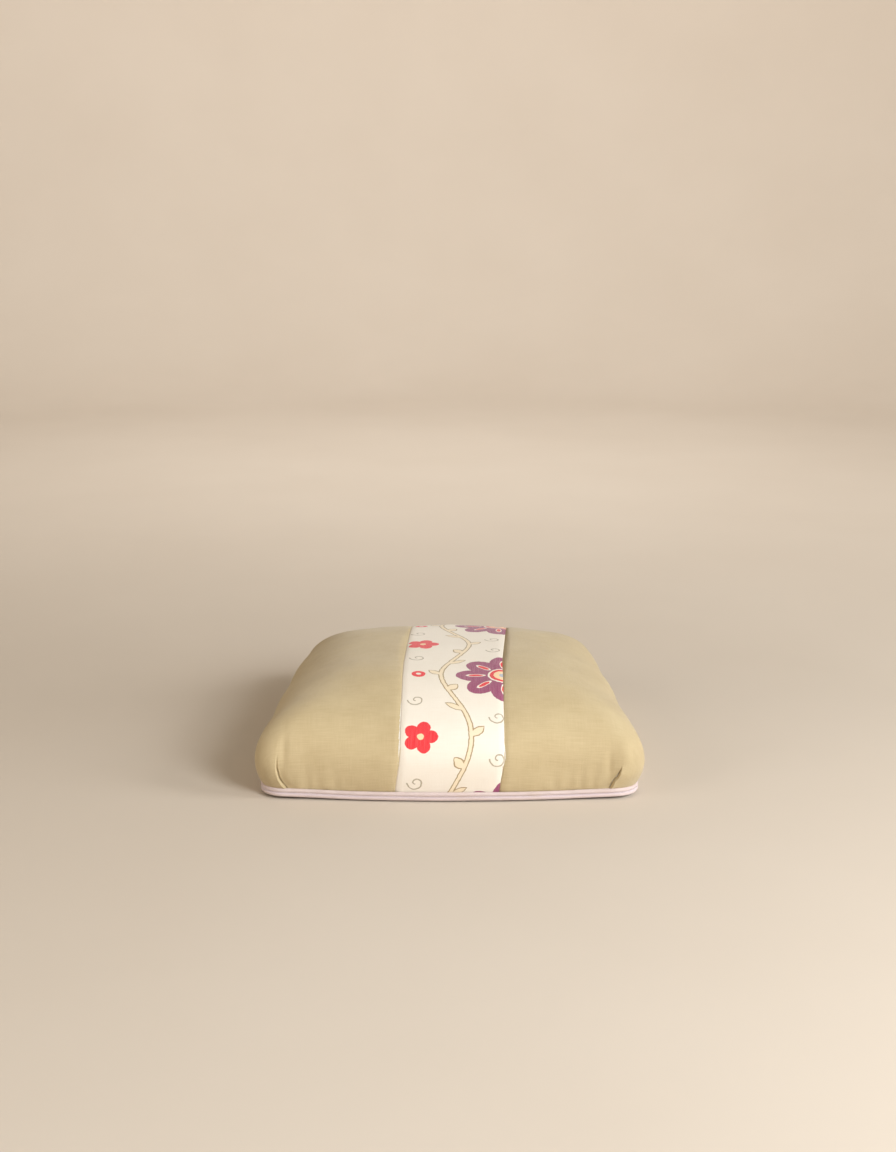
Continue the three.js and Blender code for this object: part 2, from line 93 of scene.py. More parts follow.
def placeLights():
    # four soft panels, each turned from its place towards its aim, and a warm sky
    for name, spec in light.items():
        data = bpy.data.lights.new(name, "AREA")
        data.size = spec["size"] * mm
        data.energy = spec["watts"]
        data.color = spec["color"]
        lamp = bpy.data.objects.new(name, data)
        lamp.location = [c * mm for c in spec["place"]]
        away = lamp.location - Vector([c * mm for c in spec["aim"]])
        lamp.rotation_euler = away.to_track_quat("Z", "Y").to_euler()
        placed(lamp)
    world = bpy.data.worlds.new("studio")
    bpy.context.scene.world = world
    world.use_nodes = True
    back = world.node_tree.nodes["Background"]
    back.inputs["Color"].default_value = (*sky["color"], 1)
    back.inputs["Strength"].default_value = sky["strength"]
    bpy.context.scene.view_settings.view_transform = "Standard"


placeCamera()
placeLights()
print("camera and lights ready")


# shader helpers
class Wire:
    # one socket of a node tree; arithmetic on it adds Math nodes
    def __init__(self, tree, socket=None):
        self.tree = tree
        self.socket = socket

    def node(self, kind, settings=None, inputs=None, out=0):
        made = self.tree.nodes.new(kind)
        for key, value in (settings or {}).items():
            setattr(made, key, value)
        for key, value in (inputs or {}).items():
            if isinstance(value, Wire):
                self.tree.links.new(value.socket, made.inputs[key])
            else:
                made.inputs[key].default_value = value
        return Wire(self.tree, made.outputs[out] if len(made.outputs) else None)

    def math(self, operation, *values):
        return self.node("ShaderNodeMath", {"operation": operation}, dict(enumerate(values)))

    def __add__(self, other):
        return self.math("ADD", self, other)

    def __sub__(self, other):
        return self.math("SUBTRACT", self, other)

    def __rsub__(self, other):
        return self.math("SUBTRACT", other, self)

    def __mul__(self, other):
        return self.math("MULTIPLY", self, other)

    def __truediv__(self, other):
        return self.math("DIVIDE", self, other)

    __radd__ = __add__
    __rmul__ = __mul__

    def sin(self):
        return self.math("SINE", self)

    def cos(self):
        return self.math("COSINE", self)

    def size(self):
        return self.math("ABSOLUTE", self)

    def root(self):
        return self.math("SQRT", self)

    def least(self, other):
        return self.math("MINIMUM", self, other)

    def most(self, other):
        return self.math("MAXIMUM", self, other)

    def over(self, other):
        return self.math("GREATER_THAN", self, other)

    def share(self, most=1.0):
        # held between 0 and most
        return self.least(most).most(0.0)

    def under(self, edge, soft):
        # 1 where the wire is below edge, fading to 0 across a width of soft
        return self.node("ShaderNodeMapRange", {"interpolation_type": "SMOOTHSTEP"},
                         {"Value": self, "From Min": edge + soft / 2, "From Max": edge - soft / 2})

    def toward(self, color, amount):
        # a colour wire mixed to another colour
        return self.node("ShaderNodeMix", {"data_type": "RGBA"}, {0: amount, 6: self, 7: color}, 2)

    def axis(self, name):
        return self.node("ShaderNodeSeparateXYZ", {}, {0: self}, name)

    def scaled(self, x, y, z):
        return self.node("ShaderNodeVectorMath", {"operation": "MULTIPLY"}, {0: self, 1: (x, y, z)})

    def turned(self, degrees):
        return self.node("ShaderNodeMapping", {}, {0: self, 2: (0.0, 0.0, math.radians(degrees))})

    def combined(self, factor, offset):
        # the vector times factor plus offset
        return self.node("ShaderNodeVectorMath", {"operation": "MULTIPLY_ADD"}, {0: self, 1: factor, 2: offset})

    def scattered(self, scale):
        # a random vector that changes slowly with place
        return self.node("ShaderNodeTexNoise", {}, {"Vector": self, "Scale": scale, "Detail": 2.0}, 1)

    def wrapped(self, every):
        # the same from minus half to half of every, over and over
        return self.math("WRAP", self, every / 2, -every / 2)

    def noise(self, scale, detail=2.0, rough=0.5):
        return self.node("ShaderNodeTexNoise", {}, {"Vector": self, "Scale": scale,
                                                    "Detail": detail, "Roughness": rough})


def newMaterial(name):
    # an empty material, and a wire to start its nodes from
    made = bpy.data.materials.new(name)
    made.use_nodes = True
    made.node_tree.nodes.clear()
    return made, Wire(made.node_tree)


def finishMaterial(made, start, color, rough, height=None, distance=0.0005, fixed=None):
    # one shader, with height as bump distance metres deep; fixed holds settings that are the same all over
    inputs = {"Base Color": color, "Roughness": rough}
    if height is not None:
        inputs["Normal"] = start.node("ShaderNodeBump", {}, {"Height": height, "Distance": distance})
    inputs.update(fixed or {})
    shader = start.node("ShaderNodeBsdfPrincipled", {}, inputs)
    start.node("ShaderNodeOutputMaterial", {}, {"Surface": shader})
    return made


def rgb(r, g, b):
    # a colour given as it looks on screen, 0 to 255, turned to linear light
    return tuple(((c / 255 + 0.055) / 1.055) ** 2.4 for c in (r, g, b)) + (1.0,)


# shape of the pad
plan = {
    "frontHalf": 232.0, "rearHalf": 201.0, "frontY": -222.5, "bow": 15.0,
    "postY": 200.5, "tongueHalf": 152.0, "rearY": 237.5,
    "frontRound": 28.0, "shoulderRound": 22.0, "notchRound": 14.0, "tongueRound": 20.0,
    "cornerFull": 4.2, "cornerSpread": 0.13,
}
dome = {
    "foot": 2.0, "trimTop": 11.0, "widest": 46.0,
    "crown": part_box("cover_centre_panel")[1].z / mm,
    "sideSwell": 12.0, "cornerSwell": 3.2, "lowFull": 0.72, "roundness": 2.7, "sideRoundness": 0.9,
}
seams = {
    "y": (-260.0, -190.0, -70.0, 110.0, 260.0),
    "left": (-62.0, -61.0, -60.5, -54.5, -51.0), "right": (67.5, 68.0, 70.0, 81.5, 89.0),
    "footLean": 6.5, "leanTop": 66.0,
}


def smooth(v):
    # 3v^2 - 2v^3 between 0 and 1
    v = np.clip(v, 0, 1)
    return v * v * (3 - 2 * v)


def bell(v, middle, width):
    # e to the minus square of the distance from the middle in widths
    return np.exp(-((v - middle) / width) ** 2)


def roundCorner(a, b, c, radius, steps=16):
    # circular arc that replaces corner b of the path a-b-c
    a, b, c = (np.array(p, float) for p in (a, b, c))
    u = (a - b) / np.linalg.norm(a - b)
    v = (c - b) / np.linalg.norm(c - b)
    half = math.acos(float(u @ v)) / 2
    middle = b + (u + v) / np.linalg.norm(u + v) * radius / math.sin(half)
    start = b + u * radius / math.tan(half) - middle
    end = b + v * radius / math.tan(half) - middle
    a0 = math.atan2(start[1], start[0])
    turn = (math.atan2(end[1], end[0]) - a0 + math.pi) % (2 * math.pi) - math.pi
    angles = a0 + turn * np.linspace(0, 1, steps + 1)
    return np.stack([middle[0] + radius * np.cos(angles), middle[1] + radius * np.sin(angles)], 1)


def polarOutline(points):
    # angle and radius of a right half outline, from straight front to straight back
    dense = np.concatenate([np.linspace(points[i], points[i + 1], 12, endpoint=False)
                            for i in range(len(points) - 1)] + [points[-1:]])
    return np.arctan2(dense[:, 1], dense[:, 0]), np.hypot(dense[:, 0], dense[:, 1])


def eased(path):
    # a path with its corners eased by a running mean over seven points
    padded = np.concatenate([2 * path[0] - path[3:0:-1], path, 2 * path[-1] - path[-2:-5:-1]])
    return sum(padded[k:k + len(path)] for k in range(7)) / 7


def runAlong(path):
    # length from the start of a path to each of its points
    return np.concatenate([[0], np.cumsum(np.linalg.norm(np.diff(path, axis=0), axis=1))])


def runAcross(rings):
    # length round each ring from its first point, with one more column where it closes
    loop = np.concatenate([rings, rings[:, :1]], 1)
    step = np.linalg.norm(np.diff(loop, axis=1), axis=-1)
    return np.concatenate([np.zeros((len(loop), 1)), np.cumsum(step, 1)], 1)


def outlines():
    # the pad at its foot, notched for the posts, and the rounder outline its top turns towards
    f = (plan["frontHalf"], plan["frontY"])
    s = (plan["rearHalf"], plan["postY"])
    n = (plan["tongueHalf"], plan["postY"])
    t = (plan["tongueHalf"], plan["rearY"])
    far = (plan["rearHalf"], plan["rearY"])
    share = np.linspace(0, 0.88, 23)
    front = np.stack([share * f[0], f[1] - plan["bow"] * (1 - share ** 2)], 1)
    base = np.concatenate([front, roundCorner(front[-1], f, s, plan["frontRound"]),
                           roundCorner(f, s, n, plan["shoulderRound"]),
                           roundCorner(s, n, t, plan["notchRound"]),
                           roundCorner(n, t, (-t[0], t[1]), plan["tongueRound"]), [(0, t[1])]])
    top = np.concatenate([front[:13], roundCorner(front[12], f, s, 95),
                          roundCorner(f, s, (0, far[1]), 110), [(0, far[1])]])
    return polarOutline(base), polarOutline(top)


baseOutline, topOutline = outlines()
cornerAngle = math.atan2(plan["frontY"], plan["frontHalf"])


def onRight(angle):
    # the same direction on the right half
    return np.arctan2(np.sin(angle), np.abs(np.cos(angle)))


def reach(outline, angle):
    # radius of an outline at an angle, the same on both halves
    return np.interp(onRight(angle), *outline)


def footReach(angle):
    # the cover's foot, which stands out a little more than the frame at the two front corners
    fromCorner = onRight(angle) - cornerAngle
    return reach(baseOutline, angle) + plan["cornerFull"] * bell(fromCorner, 0, plan["cornerSpread"])


def swell(angle):
    # how far the side stands out past the foot: most at the front corners, hardly at the back
    s = np.sin(angle)
    fromCorner = onRight(angle) - cornerAngle
    side = dome["sideSwell"] * (1 - 0.55 * smooth((-s - 0.6) / 0.25)) * (1 - 0.9 * smooth((s - 0.62) / 0.1))
    return side + dome["cornerSwell"] * bell(fromCorner, 0, 0.17)


def padProfile(angle, level):
    # radius and height; level runs 0 at the foot, 1 at the widest, 2 at the crown
    # below: a quarter sine outwards, to a power that fills it
    # above: a superellipse whose outline softens towards the top
    base = footReach(angle)
    wide = base + swell(angle)
    lowZ = dome["foot"] + (dome["widest"] - dome["foot"]) * np.minimum(level, 1)
    up = np.clip((lowZ - dome["trimTop"]) / (dome["widest"] - dome["trimTop"]), 0, 1)
    lowR = base + (wide - base) * np.sin(up * np.pi / 2) ** dome["lowFull"]
    phi = np.clip(level - 1, 0, 1) * np.pi / 2
    n = dome["roundness"] + dome["sideRoundness"] * np.cos(angle) ** 2
    rho = np.clip(np.cos(phi), 0, 1) ** (2 / n)
    soft = smooth((1 - rho) / 0.45)
    rim = wide * (1 - soft) + (reach(topOutline, angle) + swell(angle) * 0.8) * soft
    highZ = dome["widest"] + (dome["crown"] - dome["widest"]) * np.sin(phi)
    return np.where(level <= 1, lowR, rim * rho), np.where(level <= 1, lowZ, highZ)


def padPoint(angle, level):
    # the profile turned to its angle
    r, z = padProfile(angle, level)
    return ringPoints(r, angle, z)


def ringPoints(r, angle, z):
    # points at a radius, angle and height about the middle
    return np.stack([r * np.cos(angle), r * np.sin(angle), np.broadcast_to(z, r.shape)], -1)


def inward(angle, level, depth):
    # the pad's profile moved in by depth along its own normal, at a fixed angle
    r, z = padProfile(angle, level)
    r0, z0 = padProfile(angle, np.maximum(level - 0.01, 0))
    r1, z1 = padProfile(angle, np.minimum(level + 0.01, 1.99))
    run = np.hypot(r1 - r0, z1 - z0)
    return ringPoints(r - depth * (z1 - z0) / run, angle, z + depth * (r1 - r0) / run)


def seamX(side, y, z):
    # plan line of a seam, leaning to the left towards the foot of the front
    lean = seams["footLean"] * smooth((seams["leanTop"] - z) / seams["leanTop"]) * smooth((-y - 150) / 60)
    return np.interp(y, seams["y"], seams[side]) - lean


def gridNormals(p):
    # unit normals of a grid, each averaged with its neighbours so that a pinched cell takes theirs
    n = np.cross(np.gradient(p, axis=0), np.gradient(p, axis=1))
    n = np.pad(n, ((1, 1), (0, 0), (0, 0)), "edge")
    n = np.pad(n[:-2] + 2 * n[1:-1] + n[2:], ((0, 0), (1, 1), (0, 0)), "edge")
    n = n[:, :-2] + 2 * n[:, 1:-1] + n[:, 2:]
    size = np.linalg.norm(n, axis=-1, keepdims=True)
    return n / np.maximum(size, 1e-9)


def makeMesh(name, points, quads, uv=None):
    # points in millimetres; quads are rows of four indices, with the last one repeated for a triangle
    # uv is one pair per point, or one per corner of each face; faces are turned so that they look outwards
    mesh = bpy.data.meshes.new(name)
    points = np.asarray(points, float).reshape(-1, 3)
    p = points[quads]
    volume = np.sum(p[:, 0] * np.cross(p[:, 1], p[:, 2])) + np.sum(p[:, 0] * np.cross(p[:, 2], p[:, 3]))
    order = slice(None, None, 1 if volume > 0 else -1)
    three = quads[:, 2] == quads[:, 3]
    faces = quads[~three][:, order].tolist() + quads[three][:, :3][:, order].tolist()
    mesh.from_pydata((points * mm).tolist(), [], faces)
    mesh.polygons.foreach_set("use_smooth", np.ones(len(faces), bool))
    if uv is not None:
        uv = np.asarray(uv)
        corner = uv if uv.ndim == 3 and uv.shape[:2] == quads.shape else uv.reshape(-1, 2)[quads]
        flat = np.concatenate([corner[~three][:, order].reshape(-1, 2),
                               corner[three][:, :3][:, order].reshape(-1, 2)])
        mesh.uv_layers.new(name="cloth").data.foreach_set("uv", (flat * mm).astype(np.float32).ravel())
    mesh.update()
    return placed(bpy.data.objects.new(name, mesh))


def gridQuads(rows, columns, first=0, wrap=False, flip=False):
    # faces of a rows x columns grid of points numbered from first
    i, j = np.meshgrid(np.arange(rows - 1), np.arange(columns if wrap else columns - 1), indexing="ij")
    k = (j + 1) % columns
    quads = np.stack([i * columns + j, i * columns + k, (i + 1) * columns + k, (i + 1) * columns + j], -1)
    quads = quads.reshape(-1, 4) + first
    return quads[:, ::-1] if flip else quads


def clothShell(name, outer, thick, uv):
    # two copies of a grid, thick apart, closed round the edge
    rows, columns = outer.shape[:2]
    inner = outer - gridNormals(outer) * thick
    count = rows * columns
    edge = np.concatenate([np.arange(columns), np.arange(1, rows) * columns + columns - 1,
                           (rows - 1) * columns + np.arange(columns - 2, -1, -1),
                           np.arange(rows - 2, 0, -1) * columns])
    ahead = np.roll(edge, -1)
    rim = np.stack([ahead, edge, edge + count, ahead + count], 1)
    quads = np.concatenate([gridQuads(rows, columns), gridQuads(rows, columns, count, flip=True), rim])
    return makeMesh(name, np.concatenate([outer.reshape(-1, 3), inner.reshape(-1, 3)]), quads,
                    np.concatenate([uv.reshape(-1, 2)] * 2))


# relief of the cloth
folds = {
    "tacks": 62, "tackPull": 0.55, "tackFade": 9.0,
    "softSwell": 0.9, "seamDip": 1.3, "seamWidth": 4.0,
    "pleatStep": 3.2, "pleatGroove": 3.4, "pleatRun": 15.0,
}
# crease of each front corner pleat, as distance from the middle at heights above the base
pleats = {
    -1: {"crease": ((9, 200.5), (14, 203.5), (20, 208.0), (28, 212.0), (42, 214.5), (62, 214.0)),
         "top": 62, "fade": 30, "dent": (205.0, 66.0), "puff": (219.0, 44.0)},
    1: {"crease": ((9, 197.5), (12, 199.0), (19, 202.3), (25, 204.3), (29, 207.7), (34, 210.5), (40, 212.3), (60, 217.0)),
        "top": 47, "fade": 16, "dent": (198.5, 40.0), "puff": (217.0, 64.0)},
}
# soft upright pull marks above the piping: place across, width, strength, height
pulls = ((-186, 7, 0.8, 26), (-170, 5, 0.6, 22), (-152, 8, 0.8, 30), (-134, 5, 0.5, 18), (-108, 6, 0.35, 16),
         (122, 5, 0.45, 18), (138, 7, 0.7, 26), (155, 5, 0.6, 24), (170, 6, 0.75, 28), (184, 5, 0.5, 20))
waves = np.random.RandomState(7)
swellWaves = [(waves.uniform(0.02, 0.055), waves.uniform(0, 6.28), waves.uniform(0, 6.28)) for _ in range(14)]


def clothRelief(p, under=False):
    # millimetres each point of the cover stands off the smooth pad, as a sum of separate marks
    x, y, z = p[..., 0], p[..., 1], p[..., 2]
    side = np.where(x < 0, -1, 1)
    m = np.abs(x)
    angle = np.arctan2(y, x)
    low = smooth((z - dome["trimTop"]) / 6)
    # a slow unevenness of the stuffing
    uneven = sum(np.sin(f * (x * np.cos(t) + y * np.sin(t)) + 0.8 * f * z + s) for f, t, s in swellWaves)
    out = folds["softSwell"] * uneven / len(swellWaves) ** 0.5 * smooth((z - 14) / 40)
    # the cloth dips a little at each tack behind the piping
    tack = 0.5 + 0.5 * np.cos(folds["tacks"] * angle + 1.3 * np.sin(4 * angle))
    out -= folds["tackPull"] * tack * np.exp(-np.abs(z - dome["trimTop"]) / folds["tackFade"]) * low
    # upright pull marks on the front
    front = smooth((-y - 150) / 50)
    for place, width, strength, height in pulls:
        lean = place + (z - 12) * 0.05 * np.sign(place)
        mark = bell(x, lean, width) - 0.7 * bell(x, lean + 1.6 * width, width)
        out += strength * mark * bell(z, 14, height) * front * low
    # shallow crosswise drags over the top of the sides
    drag = np.sin(y / 7.5 + 2.2 * np.sin(x / 55) + 0.6 * side)
    out += 0.16 * drag * bell(m, 150, 40) * smooth((z - 80) / 20) * (0.5 + 0.5 * np.sin(y / 43 + x / 30))
    # the side cloth laps over the front at each corner pleat; under the cover the dip is wider
    for sign, pleat in pleats.items():
        heights, places = np.array(pleat["crease"]).T
        off = (m - np.interp(z, heights, places)) * 1.25
        here = smooth((-y - 165) / 25) * (side == sign) * low
        fade = smooth((pleat["top"] - z) / pleat["fade"]) * here
        lap = smooth((off + 0.5) / 1.0) * np.exp(-np.maximum(off, 0) / folds["pleatRun"])
        slump = -1.6 * bell(off, -5, 8) * (off < 0)
        groove = bell(off, -0.9, 4.5 if under else 0.95)
        deep = folds["pleatGroove"] + (1.2 if under else 0)
        out += fade * (folds["pleatStep"] * lap * (not under) + slump - deep * groove)
        if under:
            out -= 1.3 * here * bell(off, 0, 14) * smooth((pleat["top"] + 22 - z) / pleat["fade"])
        # a soft dent beside the crease
        x0, z0 = pleat["dent"]
        out -= here * 1.5 * bell(m, x0, 4.5) * bell(z, z0, 20)
        # the cloth puffs out above the fold
        x0, z0 = pleat["puff"]
        out += here * 1.6 * bell(m, x0, 11) * bell(z, z0, 15) * (not under)
    return out


def seamDip(distance):
    # the join sinks between the two cloths
    return -folds["seamDip"] * bell(distance, 0, folds["seamWidth"])


def raised(points, outward, distance):
    # points lifted along their normals by the relief and the dip beside the seams
    normals = gridNormals(points)
    if np.sum(normals * outward) < 0:
        normals = -normals
    return points + normals * (clothRelief(points) + seamDip(distance))[..., None]


# cover panels
panel = {"columns": 430, "rows": 88, "edgeColumns": 26, "thick": 0.9, "tuck": 1.6}
strip = {"columns": 64, "turn": 1.55, "lowRows": 60, "topRows": 150, "rows": 330}


def unfolded(angle, level, points):
    # cloth coordinates in millimetres: the plan place, pushed out along the outline's normal
    # by the length the profile gains over its plan reach
    steps = np.linspace(0, 1, 60)[:, None]
    fine = level[..., None, None] + (2 - level[..., None, None]) * steps
    r, z = padProfile(angle[..., None, None], fine)
    length = np.hypot(np.diff(r, axis=-2), np.diff(z, axis=-2)).sum((-2, -1))
    gain = length - np.hypot(points[..., 0], points[..., 1])
    c, s = np.cos(angle), np.sin(angle)
    blend = smooth((np.abs(c) / 0.985 - np.abs(s) * 1.02 + 0.12) / 0.24)
    nx, ny = np.sign(c) * blend, np.sign(s) * (1 - blend)
    size = np.hypot(nx, ny)
    return np.stack([points[..., 0] + gain * nx / size, points[..., 1] + gain * ny / size], -1)


def seamAngle(side, level, front):
    # angle from the middle line's right, on the right half, at which a seam crosses each level
    turn = -1 if front else 1
    angle = np.full(np.shape(level), turn * np.pi / 2)
    for _ in range(12):
        r, z = padProfile(angle, level)
        angle = turn * (np.pi / 2 - np.arcsin(np.abs(seamX(side, r * np.sin(angle), z)) / r))
    return angle


def seamLevel(side, angle):
    # highest level at which each radial line meets the seam, for angles on the right half
    levels = np.linspace(0, 2, 1601)
    p = padPoint(angle[:, None], levels[None, :])
    gap = p[..., 0] - np.abs(seamX(side, p[..., 1], p[..., 2]))
    last = np.clip(gap.shape[1] - 1 - np.argmax(gap[:, ::-1] > 0, axis=1), 0, len(levels) - 2)
    row = np.arange(len(angle))
    a, b = gap[row, last], gap[row, last + 1]
    crossing = levels[last] + (levels[1] - levels[0]) * np.clip(a / (a - b), 0, 1)
    return np.where((gap > 0).any(1), crossing, 1.0)  # a line wholly inside the seam stops at the widest line


def tucked(outer, uv, rows):
    # the edges of a panel turned down by tuck, at its last row if rows, and at its first and last columns
    normals = gridNormals(outer)
    tuck = panel["tuck"]
    if rows:
        outer = np.concatenate([outer, outer[-1:] - normals[-1:] * tuck])
        uv = np.concatenate([uv, uv[-1:]])
        normals = np.concatenate([normals, normals[-1:]])
    down = outer[:, [0, -1]] - normals[:, [0, -1]] * tuck
    outer = np.concatenate([down[:, :1], outer, down[:, 1:]], 1)
    return outer, np.concatenate([uv[:, :1], uv, uv[:, -1:]], 1)


def sidePanel(side):
    # columns fan out from the middle, closer together at the front corner; the first and last follow the seam
    start, end = float(seamAngle(side, 1.0, True)), float(seamAngle(side, 1.0, False))
    even = np.linspace(start, end, 4000)
    crowd = 1 + 6 * np.exp(-((even - cornerAngle + 0.06) / 0.13) ** 2)
    total = np.concatenate([[0], np.cumsum((crowd[1:] + crowd[:-1]) / 2)])
    column = np.interp(np.linspace(0, total[-1], panel["columns"]), total, even)
    top = np.maximum(seamLevel(side, column), 1.0)
    level = top[None, :] * np.linspace(0, 1, panel["rows"])[:, None]
    near = np.clip(1 - np.arange(panel["columns"]) / panel["edgeColumns"], 0, 1)
    low = np.minimum(level, 1.0)
    angle = column + near * (seamAngle(side, low, True) - start) + near[::-1] * (seamAngle(side, low, False) - end)
    if side == "left":
        angle = np.pi - angle
    points = padPoint(angle, level)
    across = np.abs(points[..., 0] - seamX(side, points[..., 1], points[..., 2]))
    uv = unfolded(angle, level, points)
    outer = raised(points, points - np.array([0, 0, 30.0]), across)
    if side == "right":
        outer, uv = outer[:, ::-1], uv[:, ::-1]
    outer, uv = tucked(outer, uv, True)
    return clothShell(f"cover_{side}", outer, panel["thick"], uv)


def stripPanel():
    # each column is a slice of the pad from the front foot over the crown to the back foot
    u = np.linspace(0, 1, strip["columns"])[:, None]
    mix = lambda y, z: seamX("left", y, z) * (1 - u) + seamX("right", y, z) * u

    def wall(level, forward):
        angle = np.full(np.broadcast_shapes(u.shape, level.shape), -np.pi / 2 if forward else np.pi / 2)
        for _ in range(12):
            r, z = padProfile(angle, level)
            lean = np.arcsin(np.clip(mix(r * np.sin(angle), z) / r, -1, 1))
            angle = -np.pi / 2 + lean if forward else np.pi / 2 - lean
        return padPoint(angle, np.broadcast_to(level, angle.shape))

    rise = np.linspace(0, strip["turn"], strip["lowRows"])[None, :]
    front, back = wall(rise, True), wall(rise[:, ::-1], False)
    y = front[:, -1, 1][:, None] + (back[:, 0, 1] - front[:, -1, 1])[:, None] * \
        np.linspace(0, 1, strip["topRows"])[None, 1:-1]
    x = mix(y, 100.0)
    angle, r = np.arctan2(y, x), np.hypot(x, y)
    low, high = np.full_like(r, strip["turn"] - 0.2), np.full_like(r, 2.0)
    for _ in range(34):
        middle = (low + high) / 2
        outside = padProfile(angle, middle)[0] > r
        low, high = np.where(outside, middle, low), np.where(outside, high, middle)
    z = padProfile(angle, low)[1]
    slices = np.concatenate([front, np.stack([x, y, z], -1), back], 1)
    step = np.linalg.norm(np.diff(slices, axis=1), axis=-1)
    length = np.concatenate([np.zeros((len(slices), 1)), np.cumsum(step, 1)], 1)
    at = np.linspace(0, 1, strip["rows"])
    points = np.stack([[np.interp(at * length[i, -1], length[i], slices[i, :, k]) for k in range(3)]
                       for i in range(len(slices))]).transpose(2, 0, 1)
    run = at[:, None] * length[None, :, -1]
    crownRun = np.array([np.interp(0.0, slices[i, :, 1], length[i]) for i in range(len(slices))])
    uv = np.stack([points[..., 0], run - crownRun[None, :]], -1)
    wide = seamX("right", points[..., 1], points[..., 2]) - seamX("left", points[..., 1], points[..., 2])
    share = np.broadcast_to(u[:, 0][None, :], wide.shape)
    distance = np.minimum(share, 1 - share) * wide
    outer = raised(points, points - np.array([0, 0, 30.0]), distance)[:, ::-1]
    uv = uv[:, ::-1]
    outer, uv = tucked(outer, uv, False)
    return clothShell("cover_centre", outer, panel["thick"], uv)


leftPanel = sidePanel("left")
rightPanel = sidePanel("right")
centrePanel = stripPanel()
print("cover panels made")


# closed tubes, turned layers and other solid pieces
def tube(name, rings, poles, across, along):
    # rings of points, rows x columns, each closed round, with a fan to a pole at both ends
    # across and along are cloth coordinates, with one column more than the rings
    rows, columns = rings.shape[:2]
    k = np.arange(columns)
    nextK = (k + 1) % columns
    end = rows * columns
    fan = lambda pole, a, b: np.stack([np.full(columns, pole), a, b, b], 1)
    quads = np.concatenate([gridQuads(rows, columns, wrap=True), fan(end, nextK, k),
                            fan(end + 1, (rows - 1) * columns + k, (rows - 1) * columns + nextK)])
    flat = np.stack([np.broadcast_to(across, (rows, columns + 1)), np.broadcast_to(along, (rows, columns + 1))], -1)
    flat = np.concatenate([flat.reshape(-1, 2), flat[0].mean(0)[None], flat[-1].mean(0)[None]])
    wide = columns + 1
    flatEnd = rows * wide
    corners = np.concatenate([gridQuads(rows, wide), fan(flatEnd, k + 1, k),
                              fan(flatEnd + 1, (rows - 1) * wide + k, (rows - 1) * wide + k + 1)])
    return makeMesh(name, np.concatenate([rings.reshape(-1, 3), poles]), quads, flat[corners])


def layFlat(name, rings, poles):
    # a tube whose cloth coordinates are its plan
    plan2 = np.concatenate([rings, rings[:, :1]], 1)
    return tube(name, rings, np.array(poles), plan2[..., 0], plan2[..., 1])


def sweep(name, path, section, cap=0.6):
    # a section of (side, up) offsets carried along a nearly level path, its ends rounded off by cap
    tangent = np.gradient(path, axis=0)
    tangent /= np.linalg.norm(tangent, axis=1, keepdims=True)
    side = np.cross(tangent, (0.0, 0.0, 1.0))
    side /= np.linalg.norm(side, axis=1, keepdims=True)
    up = np.cross(side, tangent)
    section = np.broadcast_to(section, (len(path),) + np.shape(section)[-2:])
    turn = np.radians([75, 50, 25])
    row = np.concatenate([[0] * 3, np.arange(len(path)), [-1] * 3])
    scale = np.concatenate([np.cos(turn), np.ones(len(path)), np.cos(turn[::-1])])[:, None, None]
    ahead = cap * np.concatenate([-np.sin(turn), np.zeros(len(path)), np.sin(turn[::-1])])[:, None]
    middle = section.mean(1, keepdims=True)
    shape = middle[row] + (section[row] - middle[row]) * scale
    base = path[row] + tangent[row] * ahead
    rings = base[:, None] + shape[..., :1] * side[row][:, None] + shape[..., 1:] * up[row][:, None]
    pole = lambda i, sign: path[i] + tangent[i] * sign * cap + middle[i, 0, 0] * side[i] + middle[i, 0, 1] * up[i]
    return tube(name, rings, np.stack([pole(0, -1), pole(-1, 1)]), runAcross(shape), runAlong(base)[:, None])


def ringSection(radius, count):
    # a circle of count points
    t = np.linspace(0, 2 * np.pi, count, endpoint=False)
    return np.stack([radius * np.cos(t), radius * np.sin(t)], -1)


def stationPath(stations, step):
    # points every step along a line of stations, its corners eased
    stations = np.array(stations, float)
    length = runAlong(stations)
    at = np.linspace(0, length[-1], max(8, int(length[-1] / step)))
    return eased(np.stack([np.interp(at, length, stations[:, k]) for k in range(3)], 1))


# how far each layer lies under the outside of the cover, by level
nearCrown = 1.985  # level at which a layer's rings stop, short of its pole
depths = {"cover": 1.0, "gap": 0.3, "wadding": 5.0, "calico": 0.7, "second": 10.0, "scrim": 0.8, "clear": 0.12}


def waddingDepth(level):
    # thickness, thin at the foot and full over the top
    return 0.8 + (depths["wadding"] - 0.8) * smooth((level - 0.35) / 0.8)


def secondDepth(level):
    # thickness, thin at the wall and full over the top
    return 2 + (depths["second"] - 2) * smooth((level - 0.8) / 0.9)


def layerDepths(level):
    # outer and inner depth of every layer inside the cover
    outer = np.full_like(level, depths["cover"] + depths["gap"])
    out = {"wadding": (outer, outer + waddingDepth(level))}
    outer = out["wadding"][1] + depths["gap"]
    out["calico_lining"] = (outer, outer + depths["calico"])
    outer = outer + depths["calico"] + depths["gap"]
    out["second_stuffing"] = (outer, outer + secondDepth(level))
    outer = out["second_stuffing"][1] + depths["gap"]
    out["scrim"] = (outer, outer + depths["scrim"])
    out["first"] = (outer + depths["scrim"] + depths["gap"],) * 2
    return out


def sunk(angle, level, depth):
    # a point under the cover, carrying the cover's relief weaker the deeper it lies
    relief = clothRelief(padPoint(angle, level), under=True) * np.exp(-depth / 9)
    return inward(angle, level, depth - relief)


layers = {
    "wadding": {"low": 0.27, "rows": 76, "columns": 420},
    "calico_lining": {"low": 0.15, "rows": 70, "columns": 300},
    "second_stuffing": {"low": 0.69, "rows": 54, "columns": 260},
    "scrim": {"low": 0.67, "rows": 54, "columns": 260},
}


